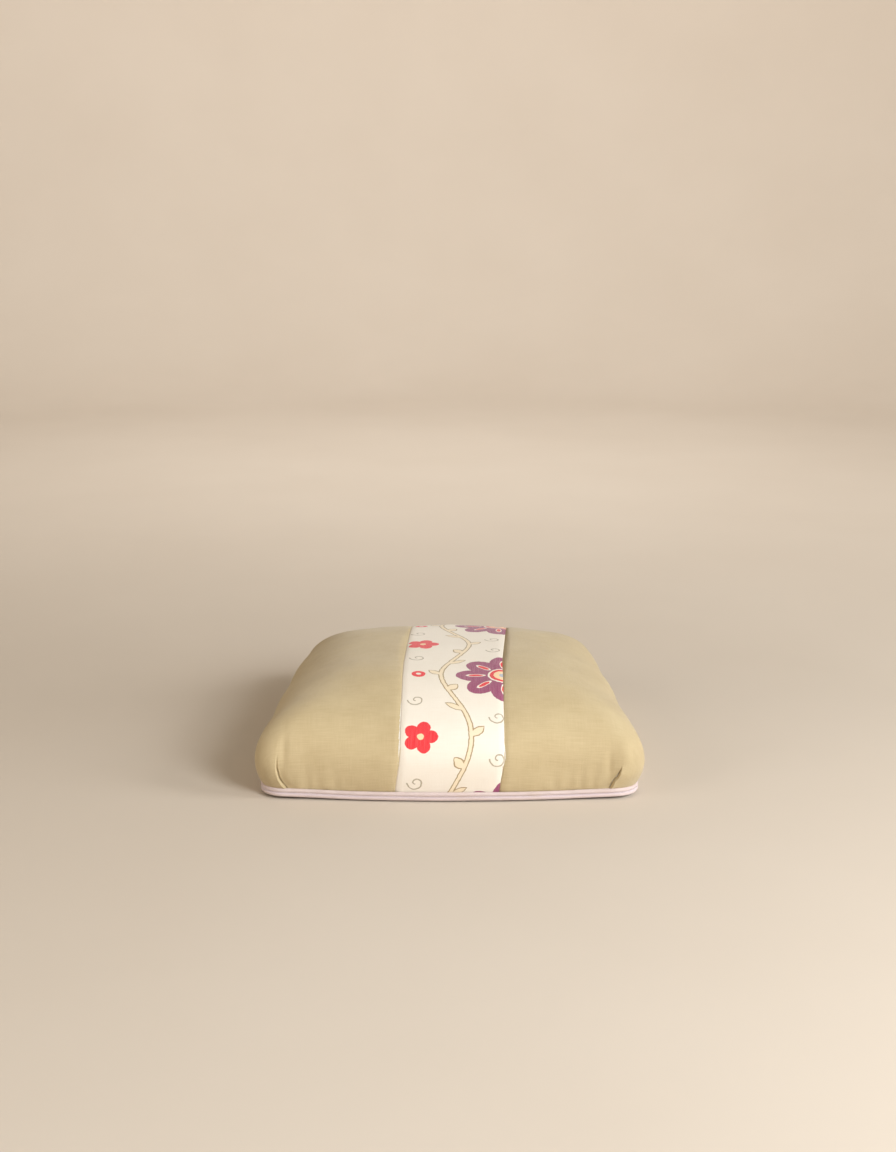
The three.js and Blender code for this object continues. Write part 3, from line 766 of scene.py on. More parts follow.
def softLayer(name):
    # a shell between two depths, open below, with a rounded edge
    spec = layers[name]
    angle = np.linspace(-np.pi, np.pi, spec["columns"], endpoint=False)[None, :]
    share = np.linspace(0, 1, spec["rows"])[:, None]
    level = spec["low"] + (nearCrown - spec["low"]) * (1 - (1 - share) ** 1.15)
    level, angle = (np.broadcast_to(v, (spec["rows"], spec["columns"])) for v in (level, angle))
    outerDepth, innerDepth = layerDepths(level)[name]
    clear = depths["clear"]
    outer, inner = sunk(angle, level, outerDepth + clear), sunk(angle, level, innerDepth - clear)
    edge = 0.5 * (outer[0] + inner[0]) - np.array([0, 0, 0.5 * (innerDepth[0, 0] - outerDepth[0, 0])]) * 0.5
    rings = np.concatenate([inner[::-1], edge[None], outer])
    apexDepths = layerDepths(np.array(2.0))[name]
    poles = np.array([[0, 0, dome["crown"] - apexDepths[1] + clear], [0, 0, dome["crown"] - apexDepths[0] - clear]])
    uv = unfolded(angle, level, outer)
    uv = np.concatenate([uv[::-1], uv[:1], uv])
    uv = np.concatenate([uv, uv[:, :1]], 1)
    return tube(name, rings, poles, uv[..., 0], uv[..., 1])


# the stitched edge rolls and the loose stuffing between them
roll = {"width": 40.0, "low": 29.9, "wallLow": 0.67, "step": 0.011, "stitch": 26.0, "pull": 1.3,
        "rows": ((0.22, 0.035), (0.42, 0.035), (0.66, 0.04))}
corners = {"front": cornerAngle, "rear": math.atan2(plan["postY"], plan["tongueHalf"])}


def levelAt(angle, radius, depth):
    # level at which the surface depth below the cover comes in to a radius
    low, high = np.full_like(angle, 1.0), np.full_like(angle, 1.99)
    for _ in range(30):
        middle = (low + high) / 2
        p = inward(angle, middle, depth(middle))
        outside = np.hypot(p[..., 0], p[..., 1]) > radius
        low, high = np.where(outside, middle, low), np.where(outside, high, middle)
    return low


def firstDepth(level):
    # depth of the stuffing under the scrim
    return layerDepths(level)["first"][0] + 0.6


def edgeRoll(name, start, end):
    # profile: flat base, the outer wall, the top under the scrim, and the inner wall
    count = int((end - start) / roll["step"])
    angle = np.linspace(start + 0.004, end - 0.004, count)
    inner = reach(baseOutline, angle) - roll["width"]
    top = levelAt(angle, inner + 0.6, firstDepth)
    share = np.linspace(0, 1, 34)[None, :]
    level = roll["wallLow"] + (top[:, None] - roll["wallLow"]) * share
    wide = np.broadcast_to(angle[:, None], level.shape)
    wall = inward(wide, level, firstDepth(level))
    run = np.cumsum(np.hypot(*np.diff(wall[..., :2], axis=0, prepend=wall[:1, :, :2]).transpose(2, 0, 1)), 0)
    dent = (0.5 + 0.5 * np.cos(2 * np.pi * run / roll["stitch"])) ** 3
    rows = sum(bell(share, middle, width) for middle, width in roll["rows"])  # three rows of stitches up the wall
    outward = wall / np.linalg.norm(wall, axis=-1, keepdims=True)
    wall = wall - outward * (roll["pull"] * rows * (0.35 + 0.65 * dent))[..., None]
    r, z = np.hypot(wall[..., 0], wall[..., 1]), wall[..., 2]
    down = np.linspace(0, 1, 10)[1:][None, :]
    innerR = inner[:, None] + 0.6
    innerZ = z[:, -1:] + (roll["low"] - z[:, -1:]) * down
    back = np.linspace(0, 1, 14)[1:-1][None, :]
    baseR = inner[:, None] + 0.6 + (r[:, :1] - inner[:, None] - 1.2) * back
    rAll = np.concatenate([r, np.broadcast_to(innerR, innerZ.shape), baseR], 1)
    zAll = np.concatenate([z, innerZ, np.full_like(baseR, roll["low"])], 1)
    rings = ringPoints(rAll, angle[:, None], zAll)
    return tube(name, rings, np.stack([rings[0].mean(0), rings[-1].mean(0)]), runAcross(rings), run[:, :1])


first = {"low": 66.8, "gap": 1.2, "columns": 240}


def firstStuffing():
    # profile: flat base, a slightly hollow side against the edge rolls, and the crown
    angle = np.linspace(-np.pi, np.pi, first["columns"], endpoint=False)
    edge = reach(baseOutline, angle) - roll["width"] - first["gap"]
    low = first["low"]
    top = levelAt(angle, edge, firstDepth)
    share = np.linspace(0, 1, 34)[:, None]
    level = top[None, :] + (nearCrown - top[None, :]) * (1 - (1 - share) ** 1.2)
    crown = inward(np.broadcast_to(angle, level.shape), level, firstDepth(level))
    r = np.hypot(crown[..., 0], crown[..., 1])
    rim = crown[0, :, 2]
    side = np.linspace(0, 1, 8)[:-1][:, None]
    sideR = edge[None, :] - 1.2 * (1 - np.sin(np.pi * side))
    sideZ = low + (rim[None, :] - low) * side
    share2 = np.linspace(0.03, 1, 14)[:-1][:, None]
    baseR, baseZ = edge[None, :] * 0.99 * share2, np.full((13, len(angle)), low)
    rAll = np.concatenate([baseR, np.minimum(sideR, edge[None, :]), r])
    zAll = np.concatenate([baseZ, sideZ, crown[..., 2]])
    tufts = 0.5 * np.sin(angle * 9)[None, :] * np.sin(zAll / 7)
    rAll = rAll - np.abs(tufts) * (rAll > 60)
    rings = ringPoints(rAll, angle, zAll)
    return layFlat("first_stuffing_centre", rings,
                   [[0, 0, low], [0, 0, dome["crown"] - float(firstDepth(np.array(2.0)))]])


canvas = {"flange": (10.2, 41.3), "flatFrom": 62.8, "low": 28.75, "top": 65.3, "thick": 0.7}


def springCanvas():
    # hessian from its tacked flange up the slope to the flat over the springs
    angle = np.linspace(-np.pi, np.pi, 280, endpoint=False)
    base = reach(baseOutline, angle)
    inset = np.concatenate([np.linspace(canvas["flange"][0], canvas["flange"][1], 8),
                            np.linspace(canvas["flange"][1], canvas["flatFrom"], 14)[1:]])
    z = np.interp(inset, [canvas["flange"][1], canvas["flatFrom"]], [canvas["low"], canvas["top"]])
    share = np.linspace(1, 0.02, 26)[1:][:, None]
    flatR = (base - canvas["flatFrom"])[None, :] * share
    r = np.concatenate([base[None, :] - inset[:, None], flatR])
    height = np.concatenate([np.broadcast_to(z[:, None], (len(z), len(angle))),
                             np.full(flatR.shape, canvas["top"])])
    low, high = ringPoints(r, angle, height), ringPoints(r, angle, height + canvas["thick"])
    slope = (height > canvas["low"] + 1) & (height < canvas["top"] - 1)
    high[:, :, :2] *= (1 - 0.45 / np.maximum(r, 20) * slope)[..., None]
    return layFlat("spring_canvas", np.concatenate([low[::-1], high]),
                   [[0, 0, canvas["top"]], [0, 0, canvas["top"] + canvas["thick"]]])


coil = {"spots": ((-98, -100), (98, -100), (0, 0), (-88, 96), (88, 96)), "low": 5.4, "top": 58.5, "radius": 40.0,
        "waist": 0.58, "wire": 1.5, "turns": 5, "steps": 300}


def spring(name, spot):
    # helix whose radius narrows to the waist as the square of the distance from the middle
    f = np.linspace(0, 1, coil["steps"])
    rise = np.clip((f - 0.14) / 0.72, 0, 1)
    r = coil["radius"] * (coil["waist"] + (1 - coil["waist"]) * (2 * rise - 1) ** 2) - coil["wire"]
    turn = 2 * np.pi * coil["turns"] * f
    path = np.stack([spot[0] + r * np.cos(turn), spot[1] + r * np.sin(turn),
                     coil["low"] + (coil["top"] - coil["low"]) * rise], 1)
    return sweep(name, path, ringSection(coil["wire"], 12), 0.4)


def sideHalf(y):
    # half width of the frame, which narrows evenly from the front to the posts
    back = (y - plan["frontY"]) / (plan["postY"] - plan["frontY"])
    return plan["frontHalf"] - (plan["frontHalf"] - plan["rearHalf"]) * back


twine = {"radius": 1.0, "pitch": 7.0, "z": 61.3, "lift": 2.3, "foot": 27.3, "knot": 3.0, "coilHalf": 38.0}
lashings = {
    "lashing_long_left": ("y", -93, (-186, 174), (-142, 138), (-100, 96)),
    "lashing_long_middle": ("y", 0, (-191, 174), (-42, 42), (0,)),
    "lashing_long_right": ("y", 93, (-186, 174), (-142, 138), (-100, 96)),
    "lashing_cross_front": ("x", -100, None, (-140, 140), (-98, 98)),
    "lashing_cross_middle": ("x", 0, None, (-42, 42), (0,)),
    "lashing_cross_rear": ("x", 96, None, (-130, 130), (-88, 88)),
}


def lashing(name):
    # laid cord over the top coils, three strands twisted, thicker where it is hitched to a coil
    run, fixed, ends, flat, centres = lashings[name]
    z = twine["z"] + (twine["lift"] if run == "y" else 0)
    if ends is None:
        half = sideHalf(fixed) - 45.0
        ends = (-half, half)
    at = ((ends[0], twine["foot"]), (ends[0] + 4, twine["foot"] + 2), (flat[0], z), (flat[1], z),
          (ends[1] - 4, twine["foot"] + 2), (ends[1], twine["foot"]))
    path = stationPath([(fixed, t, h) if run == "y" else (t, fixed, h) for t, h in at], 1.2)
    length = runAlong(path)
    place = path[:, 1] if run == "y" else path[:, 0]
    knots = sum(bell(place, c + s * twine["coilHalf"], twine["knot"]) for c in centres for s in (-1, 1))
    t = np.linspace(0, 2 * np.pi, 15, endpoint=False)[None, :]
    lobes = 0.82 + 0.2 * np.abs(np.cos(1.5 * (t - 2 * np.pi * length[:, None] / twine["pitch"])))
    radius = twine["radius"] * lobes * (1 + 0.5 * knots[:, None])
    section = np.stack([radius * np.cos(t), radius * np.sin(t) + 0.45 * knots[:, None]], -1)
    return sweep(name, path, section, 0.3)


strap = {"columns": (-111, -37, 37, 111), "rows": (-150, -60, 40, 130), "width": 50.0, "thick": 1.0,
         "middle": 2.4, "swing": 0.7, "end": 3.2}


def webbing(name, across, run, low, high, crossings, phase):
    # a strap that waves over and under the straps it crosses
    stations = [(low, strap["end"]), (low + 12, strap["end"])]
    for i, c in enumerate(crossings):
        level = strap["middle"] + (strap["swing"] if (i + phase) % 2 == 0 else -strap["swing"])
        stations += [(c - 27, level), (c + 27, level)]
    stations += [(high - 12, strap["end"]), (high, strap["end"])]
    path = stationPath([(across, t, z) if run == "y" else (t, across, z) for t, z in stations], 2.0)
    w, h = strap["width"] / 2, strap["thick"] / 2
    edge = np.linspace(-w + h, w - h, 24)
    cap = np.radians([-90, -45, 0, 45, 90])
    section = np.concatenate([np.stack([edge, np.full(24, -h)], 1),
                              np.stack([w - h + h * np.cos(cap[1:-1]), h * np.sin(cap[1:-1])], 1),
                              np.stack([edge[::-1], np.full(24, h)], 1),
                              np.stack([-w + h - h * np.cos(cap[1:-1]), -h * np.sin(cap[1:-1])], 1)])
    place = np.linspace(0, 1, len(path))[:, None, None]
    frayed = 1 + 0.006 * np.sin(place * 60 + across) + 0.004 * np.sin(place * 143)
    section = section[None] * np.concatenate([frayed, np.ones_like(frayed)], -1)
    return sweep(name, path, section, 0.3)


pieces = {}
for name in layers:
    pieces[name] = softLayer(name)
for name, start, end in (("edge_roll_front", -math.pi - corners["front"], corners["front"]),
                         ("edge_roll_right", corners["front"], corners["rear"]),
                         ("edge_roll_back", corners["rear"], math.pi - corners["rear"]),
                         ("edge_roll_left", math.pi - corners["rear"], math.pi - corners["front"])):
    pieces[name] = edgeRoll(name, start, end)
pieces["first_stuffing_centre"] = firstStuffing()
pieces["spring_canvas"] = springCanvas()
for k, spot in enumerate(coil["spots"]):
    pieces[f"spring_{k + 1}"] = spring(f"spring_{k + 1}", spot)
for name in lashings:
    pieces[name] = lashing(name)
for k, letter in enumerate("abcd"):
    pieces[f"webbing_long_{letter}"] = webbing(f"webbing_long_{letter}", strap["columns"][k], "y",
                                               plan["frontY"] + 10, plan["rearY"] - 25, strap["rows"], k)
    half = sideHalf(strap["rows"][k]) - 24
    pieces[f"webbing_cross_{letter}"] = webbing(f"webbing_cross_{letter}", strap["rows"][k], "x",
                                                -half, half, strap["columns"], k + 1)
print("stuffing, springs and webbing made")


# double piping round the foot of the cover, and its two cords
piping = {"lowZ": 3.9, "step": 5.3, "out": 2.4, "skin": 2.75, "cloth": 0.45, "valley": 1.75, "cord": 2.0,
          "sideEnd": 186.0, "backEnd": 131.0, "waver": 0.25, "lift": 2.4, "valleyAcross": 8.55, "stitch": 3.2}


def outlineRun(start, end, step):
    # points and outward directions along the foot's outline between two angles
    angle = np.linspace(start, end, 4000)
    r = footReach(angle)
    p = np.stack([r * np.cos(angle), r * np.sin(angle)], 1)
    length = runAlong(p)
    at = np.linspace(0, length[-1], int(length[-1] / step))
    p = eased(np.stack([np.interp(at, length, p[:, k]) for k in range(2)], 1))
    t = np.gradient(p, axis=0)
    t /= np.linalg.norm(t, axis=1, keepdims=True)
    return p, np.stack([t[:, 1], -t[:, 0]], 1), at


def pipingSection(skin, cloth):
    # two rounds with a valley between, open at the back, as one folded strip of cloth
    high = piping["lowZ"] + piping["step"]
    upper, lower = np.radians(np.linspace(118, -38, 18)), np.radians(np.linspace(38, -118, 18))
    def line(radius, valley):
        rounds = [np.stack([piping["out"] + radius * np.cos(a), c + radius * np.sin(a)], 1)
                  for a, c in ((upper, high), (lower, piping["lowZ"]))]
        middle = np.array([[piping["out"] + valley, piping["lowZ"] + piping["step"] / 2]])
        return np.concatenate([rounds[0], middle, rounds[1]])
    return np.concatenate([line(skin, piping["valley"]), line(skin - cloth, piping["valley"] - 0.55)[::-1]])


def pipingRun(run, start, end):
    # the folded cloth and its two twisted cords, carried along the foot; it rises a little round each corner
    plan2, out2, at = outlineRun(start, end, 1.6)
    path = np.concatenate([plan2, np.zeros((len(plan2), 1))], 1)
    fromCorner = np.arctan2(path[:, 1], np.abs(path[:, 0])) - cornerAngle
    waver = piping["waver"] * (np.sin(at / 37 + 1) + 0.6 * np.sin(at / 15.5 + 2))[:, None]
    path[:, 2] = piping["lift"] * bell(fromCorner, 0, 0.2)
    swellHere = 1 + 0.02 * np.sin(at / 11)[:, None] + 0.015 * np.sin(at / 4.7)[:, None]
    section = pipingSection(piping["skin"], piping["cloth"])
    fade = smooth(section[:, 1] / 4)[None, :] * smooth((12 - section[:, 1]) / 2)[None, :]
    out = (section[:, 0] - piping["out"])[None, :] * swellHere + piping["out"]
    shape = np.stack([out, section[:, 1][None, :] + waver * fade], -1)
    cover = sweep(f"piping_cover_{run}", path, shape, 0.5)
    made = {f"piping_cover_{run}": cover}
    inside = slice(2, -2)
    for layer, z in (("lower", piping["lowZ"]), ("upper", piping["lowZ"] + piping["step"])):
        t = np.linspace(0, 2 * np.pi, 14, endpoint=False)[None, :]
        lobes = 0.93 + 0.07 * np.abs(np.cos(1.5 * (t - 2 * np.pi * at[inside, None] / 9)))
        core = piping["cord"] * lobes
        ring = np.stack([piping["out"] + core * np.cos(t), z + core * np.sin(t)], -1)
        made[f"piping_cord_{layer}_{run}"] = sweep(f"piping_cord_{layer}_{run}", path[inside], ring, 0.3)
    return made


def angleAt(y):
    # angle of the point of the side outline at a given y
    a = np.linspace(0, math.pi / 2, 6000)
    place = reach(baseOutline, a) * np.sin(a)
    return float(a[np.argmax(place >= y)])


sideAngle = angleAt(piping["sideEnd"])
backAngle = math.atan2(plan["rearY"], piping["backEnd"])
pieces.update(pipingRun("front", -math.pi - sideAngle, sideAngle))
pieces.update(pipingRun("back", backAngle, math.pi - backAngle))

dust = {"edge": 8.2, "hem": 19.0, "top": 3.5, "cloth": 0.75, "low": 0.08}


def dustDrag(r, angle):
    # crossed slow waves over the middle of the sheet
    x, y = r * np.cos(angle), r * np.sin(angle)
    return 0.16 * np.sin(x / 23 + np.sin(y / 41)) * np.sin(y / 29 + 1.5 * np.sin(x / 60))


def dustCover():
    # sheet under the frame with a hem turned up against the rails, puckered at its staples
    angle = np.linspace(-np.pi, np.pi, 420, endpoint=False)
    base = reach(baseOutline, angle)
    shares = np.linspace(0.02, 1, 40)[:, None]
    lowR = (base - dust["edge"] - 1.0) * shares
    pucker = 0.22 * (0.5 + 0.5 * np.cos(46 * angle)) * bell(shares, 1, 0.08)
    lift = (0.25 + dustDrag(lowR, angle)) * smooth((1 - shares) / 0.06) + pucker * smooth((1 - shares) / 0.012)
    lowZ = dust["low"] + np.clip(lift, 0, 0.6)
    hemLow, hemTop = dust["low"] + dust["cloth"], dust["top"]
    edgeR = [base - dust["edge"], base - dust["edge"], base - dust["edge"] - 0.6]
    edgeZ = [dust["low"] + 0.6, hemTop - 0.6, hemTop]
    hemR = [base - dust["hem"] + 1.0, base - dust["hem"]]
    hemZ = [hemTop, hemTop - 0.8]
    rims = np.stack([*edgeR, *hemR, base - dust["hem"] - 0.6])
    rimZ = np.stack([np.full_like(base, z) for z in (*edgeZ, *hemZ, hemLow + 0.35)])
    topShares = np.linspace(1, 0.02, 36)[1:][:, None]
    topR = (base - dust["hem"] - 0.6) * topShares
    rise = np.clip(0.25 + dustDrag(topR, angle), 0, 0.6) * smooth((1 - topShares) / 0.06) * 0.4
    topZ = dust["low"] + rise + dust["cloth"]
    r = np.concatenate([lowR, rims, topR])
    z = np.concatenate([lowZ, rimZ, np.minimum(topZ, 1.0)])
    return layFlat("dust_cover", ringPoints(r, angle, z), [[0, 0, lowZ[0].mean()], [0, 0, topZ[-1].mean()]])


pieces["dust_cover"] = dustCover()
print("piping and dust cover made")


# materials: every pattern reads the piece's own cloth coordinates or Object coordinates, in millimetres
def clothPlace(start):
    # the piece's own cloth coordinates in millimetres
    return start.node("ShaderNodeUVMap", {"uv_map": "cloth"}).scaled(1000, 1000, 1000)


def objectPlace(start):
    # Object coordinates in millimetres
    return start.node("ShaderNodeTexCoord", out=3).scaled(1000, 1000, 1000)


def mixed(start, first, second, amount):
    return start.node("ShaderNodeMix", {"data_type": "RGBA"}, {0: amount, 6: first, 7: second}, 2)


def plainWeave(place, pitch):
    # checkered hills of two thread sets, with slow thick and thin runs along each thread
    drift = place.noise(0.11, 2)
    x, y = place.axis("X") + drift * 1.6, place.axis("Y") + drift * 1.6
    a, b = (x * (math.pi / pitch)).sin(), (y * (math.pi / pitch)).sin()
    weft = place.scaled(0.035, 1.1, 1).noise(1.0, 3)
    warp = place.scaled(1.1, 0.035, 1).noise(1.0, 3)
    height = a * b * 0.5 + (a.size() + b.size()) * 0.25
    return height, weft, warp


def linenFinish(name, pale, deep, printed=None):
    # slubbed plain weave, paler and darker by thread, with painted shade in the hollows of the weave and paler
    # crests, and a print laid on it if one is given
    made, start = newMaterial(name)
    place = clothPlace(start)
    height, weft, warp = plainWeave(place, 0.56)
    cloudy = place.noise(0.018, 3, 0.6)
    # painted light and shade: the weave's height makes the crests paler and the hollows darker
    tone = weft * 0.7 + warp * 0.4 + cloudy * 0.8 + height * 0.12 - 0.55
    color = mixed(start, deep, pale, tone.share())
    if printed:
        color = printed(start, place, color, height, weft, warp)
    relief = height + (weft + warp) * 1.1
    rough = 0.78 + (cloudy - 0.5) * 0.12
    return finishMaterial(made, start, color, rough, relief, 0.00012,
                          {"Sheen Weight": 0.22, "Sheen Roughness": 0.45, "Specular IOR Level": 0.25})


ink = {
    "plum": rgb(146, 62, 102), "plumPale": rgb(176, 104, 130), "red": rgb(228, 46, 56), "peach": rgb(246, 212, 168),
    "slate": rgb(178, 184, 194), "leaf": rgb(238, 220, 190), "line": rgb(166, 142, 102), "curl": rgb(160, 146, 120),
    "cream": rgb(243, 234, 219),
}
# an invented repeat for the printed cloth, in millimetres from the crown: flowers in two columns, half a repeat
# apart, and a wavy stem with alternate leaves between them
repeat = {"length": 240.0, "waver": 2.0, "soft": 0.5}
largeFlower = {"at": (70.0, -120.0), "petals": 8, "middle": 38.0, "long": 24.0, "wide": 17.5}
largeSpot = {"middle": 36.0, "long": 9.5, "wide": 3.0, "rim": 1.1}
largeRings = (("cream", 20.5), ("red", 18.0), ("peach", 13.0), ("slate", 5.5))
smallFlower = {"at": (-36.0, 0.0), "petals": 5, "middle": 12.5, "long": 9.5, "wide": 8.6}
smallRings = (("red", 8.5), ("peach", 4.2))
bud = {"at": (-40.0, -120.0), "red": 9.0, "cream": 3.2}
stem = {"middle": 8.0, "swing": 19.0, "half": 2.7, "line": 1.0}
leaves = {"every": 80.0, "long": 21.0, "wide": 4.8, "angle": 52.0}
# small spirals: centres, outer radius, radius lost per radian, degrees turned, half width of the line
spirals = {"places": ((-42.0, -180.0), (-42.0, -60.0), (60.0, -28.0), (60.0, 28.0)), "radius": 11.0, "loss": 1.25,
           "turn": 440.0, "thick": 0.9}


def foldedPlace(place, at, every):
    # place about a centre, the same in every repeat along the cloth
    x, y = place.axis("X") - at[0], place.axis("Y") - at[1]
    return x, y.wrapped(every)


def polar(x, y):
    # distance from the centre and direction
    return (x * x + y * y).root(), y.math("ARCTAN2", y, x)


def petalRing(rho, theta, spec, petals):
    # distance outside the nearest of a ring of oval petals
    step = 2 * math.pi / petals
    turn = theta.wrapped(step)
    along = (rho * turn.cos() - spec["middle"]) / spec["long"]
    across = rho * turn.sin() / spec["wide"]
    return ((along * along + across * across).root() - 1.0) * spec["wide"]


def leafDistance(u, v, spec, side):
    # distance outside a pointed leaf that springs from the stem's middle line to one side
    angle = math.radians(spec["angle"])
    dx, dy = side * math.sin(angle), math.cos(angle)
    along, across = u * dx + v * dy, (v * dx - u * dy).size()
    share = along / (spec["long"] / 2) - 1.0
    return across - (1.0 - share * share) * spec["wide"]


def spiralDistance(x, y, spec):
    # distance to a spiral r = radius - loss * angle turned through
    rho, theta = polar(x, y)
    nearest = None
    for lap in range(math.ceil(spec["turn"] / 360)):
        gone = theta + math.pi + 2 * math.pi * lap
        arm = (rho - spec["radius"] + gone * spec["loss"]).size() + gone.over(math.radians(spec["turn"])) * 60.0
        nearest = arm if nearest is None else nearest.least(arm)
    return nearest


def floralPrint(start, place, ground, height, weft, warp):
    # flat inks with slightly uneven edges, in the order they were printed
    width = repeat["waver"]
    waver = place.scattered(0.2).combined((width, width, 0.0), (-width / 2, -width / 2, 0.0))
    place = place.node("ShaderNodeVectorMath", {"operation": "ADD"}, {0: place, 1: waver})
    soft, every = repeat["soft"], repeat["length"]
    worn = (weft + warp) * 0.5
    streaked = ((worn - 0.5) * 2.6 + 0.15).share(0.7)

    spiral = None
    for at in spirals["places"]:
        gap = spiralDistance(*foldedPlace(place, at, every), spirals)
        spiral = gap if spiral is None else spiral.least(gap)
    color = ground.toward(ink["curl"], spiral.under(spirals["thick"], soft) * 0.85)

    wave = ((place.axis("Y") - largeFlower["at"][1]) * (2 * math.pi / every)).cos()
    off = place.axis("X") - stem["middle"] + wave * stem["swing"]
    branch = off.size() - stem["half"]
    for side, shift in ((-1, 0.0), (1, leaves["every"] / 2)):
        v = place.axis("Y") - (largeFlower["at"][1] + shift)
        branch = branch.math("SMOOTH_MIN", branch, leafDistance(off, v.wrapped(leaves["every"]), leaves, side), 1.5)
    color = color.toward(ink["line"], branch.under(stem["line"], soft))
    color = color.toward(ink["leaf"], branch.under(-stem["line"] / 2, soft))

    rho, theta = polar(*foldedPlace(place, largeFlower["at"], every))
    plum = mixed(start, ink["plum"], ink["plumPale"], streaked)
    color = color.toward(plum, petalRing(rho, theta, largeFlower, largeFlower["petals"]).under(0.0, soft))
    spot = petalRing(rho, theta, largeSpot, largeFlower["petals"])
    color = color.toward(ink["cream"], spot.under(largeSpot["rim"], soft))
    color = color.toward(ink["red"], spot.under(0.0, soft))
    for name, radius in largeRings:
        color = color.toward(ink[name], rho.under(radius, soft))

    rho, theta = polar(*foldedPlace(place, smallFlower["at"], every))
    color = color.toward(ink["red"], petalRing(rho, theta, smallFlower, smallFlower["petals"]).under(0.0, soft))
    for name, radius in smallRings:
        color = color.toward(ink[name], rho.under(radius, soft))
    rho, theta = polar(*foldedPlace(place, bud["at"], every))
    for name in ("red", "cream"):
        color = color.toward(ink[name], rho.under(bud[name], soft))
    # the ink lies thinner on the threads' crests
    return color.toward(ink["cream"], (height * 0.10 + (warp - 0.5) * 0.25).share(0.12))


def fibreFinish(name, pale, deep, scale, distance, rough=0.95):
    # matted fibres: noise stretched three ways and folded over itself
    made, start = newMaterial(name)
    place = objectPlace(start)
    turned = place.scattered(0.05 * scale).combined((16.0, 16.0, 16.0), place)
    one = turned.scaled(0.12, 1.6, 1.6).noise(scale, 3, 0.6)
    two = turned.scaled(1.6, 0.12, 1.6).noise(scale, 3, 0.6)
    strands = one.most(two)
    color = mixed(start, deep, pale, ((strands - 0.42) * 3.2).share())
    return finishMaterial(made, start, color, rough, strands, distance, {"Specular IOR Level": 0.2})


def wovenFinish(name, pale, deep, pitch, distance, gaps=0.0, speck=0.0, stripe=None):
    # plain weave with painted shade in the hollows of the weave and, where asked for, painted shade in the open gaps
    # between threads, seed specks and a pair of woven stripes
    made, start = newMaterial(name)
    place = clothPlace(start)
    height, weft, warp = plainWeave(place, pitch)
    # painted light and shade: the weave's height makes the crests paler and the hollows darker
    tone = (weft * 0.8 + warp * 0.8 + height * 0.35 - 0.5).share()
    color = mixed(start, deep, pale, tone)
    # painted shade: where asked for, the open gaps between threads are painted nearly black
    if gaps:
        color = color.toward((deep[0] * 0.22, deep[1] * 0.2, deep[2] * 0.18, 1.0), height.under(0.12, 0.14) * gaps)
    if speck:
        color = color.toward(rgb(150, 120, 84), place.noise(0.9, 1).over(0.73) * speck)
    if stripe:
        across = place.axis("X")
        across = across.math("PINGPONG", across, stripe["turn"])
        color = color.toward(stripe["color"], (across - stripe["at"]).size().under(stripe["half"], 0.4))
    return finishMaterial(made, start, color, 0.9 - 0.08 * tone, height + (weft + warp) * 0.7, distance,
                          {"Sheen Weight": 0.12, "Specular IOR Level": 0.2})


def woodFinish(name, lengthwise):
    # growth rings cut along the rail, with pores, darker towards the end of each streak
    made, start = newMaterial(name)
    place = objectPlace(start)
    slow, fast = 0.0035, 0.09
    scale = (slow, fast, fast) if lengthwise == "x" else (fast, slow, fast)
    bent = place.scaled(*scale).noise(1.0, 3, 0.55)
    rings = (bent * 34.0).sin() * 0.5 + 0.5
    pores = place.scaled(*(s * (1 if s == slow else 22) for s in scale)).noise(1.0, 2)
    color = mixed(start, rgb(203, 162, 112), rgb(166, 118, 72), rings * 0.75 + (bent - 0.5) * 0.8)
    color = color.toward(rgb(112, 74, 42), (pores * -1.0 + 1.0).under(0.36, 0.08) * 0.6)
    color = color.toward(rgb(120, 86, 54), place.noise(0.01, 2).over(0.66) * 0.25)
    return finishMaterial(made, start, color, 0.55 + (rings * 0.16), rings * 0.4 + pores, 0.0002)


def wireFinish():
    # drawn steel with dull brown patches
    made, start = newMaterial("spring steel")
    place = objectPlace(start)
    dull = place.noise(0.12, 3, 0.6)
    color = mixed(start, rgb(150, 150, 150), rgb(116, 98, 82), ((dull - 0.5) * 2.4).share())
    drawn = place.scaled(1.0, 1.0, 5.0).noise(1.2, 2)
    return finishMaterial(made, start, color, 0.3 + dull * 0.3, drawn, 0.00004, {"Metallic": 0.95})


def cordFinish(name, pale, deep, pitch):
    # strands running round the cord as they run along it
    made, start = newMaterial(name)
    place = clothPlace(start)
    twist = (place.axis("Y") * (2 * math.pi / pitch) + place.axis("X") * 1.1 + place.noise(0.3, 2) * 2.0).sin()
    fuzz = place.scaled(0.8, 3.0, 1).noise(1.0, 3, 0.7)
    color = mixed(start, deep, pale, (twist * 0.3 + fuzz * 0.9 + 0.05).share())
    return finishMaterial(made, start, color, 0.85 + fuzz * 0.1, twist * 0.5 + fuzz, 0.0002, {"Sheen Weight": 0.2})


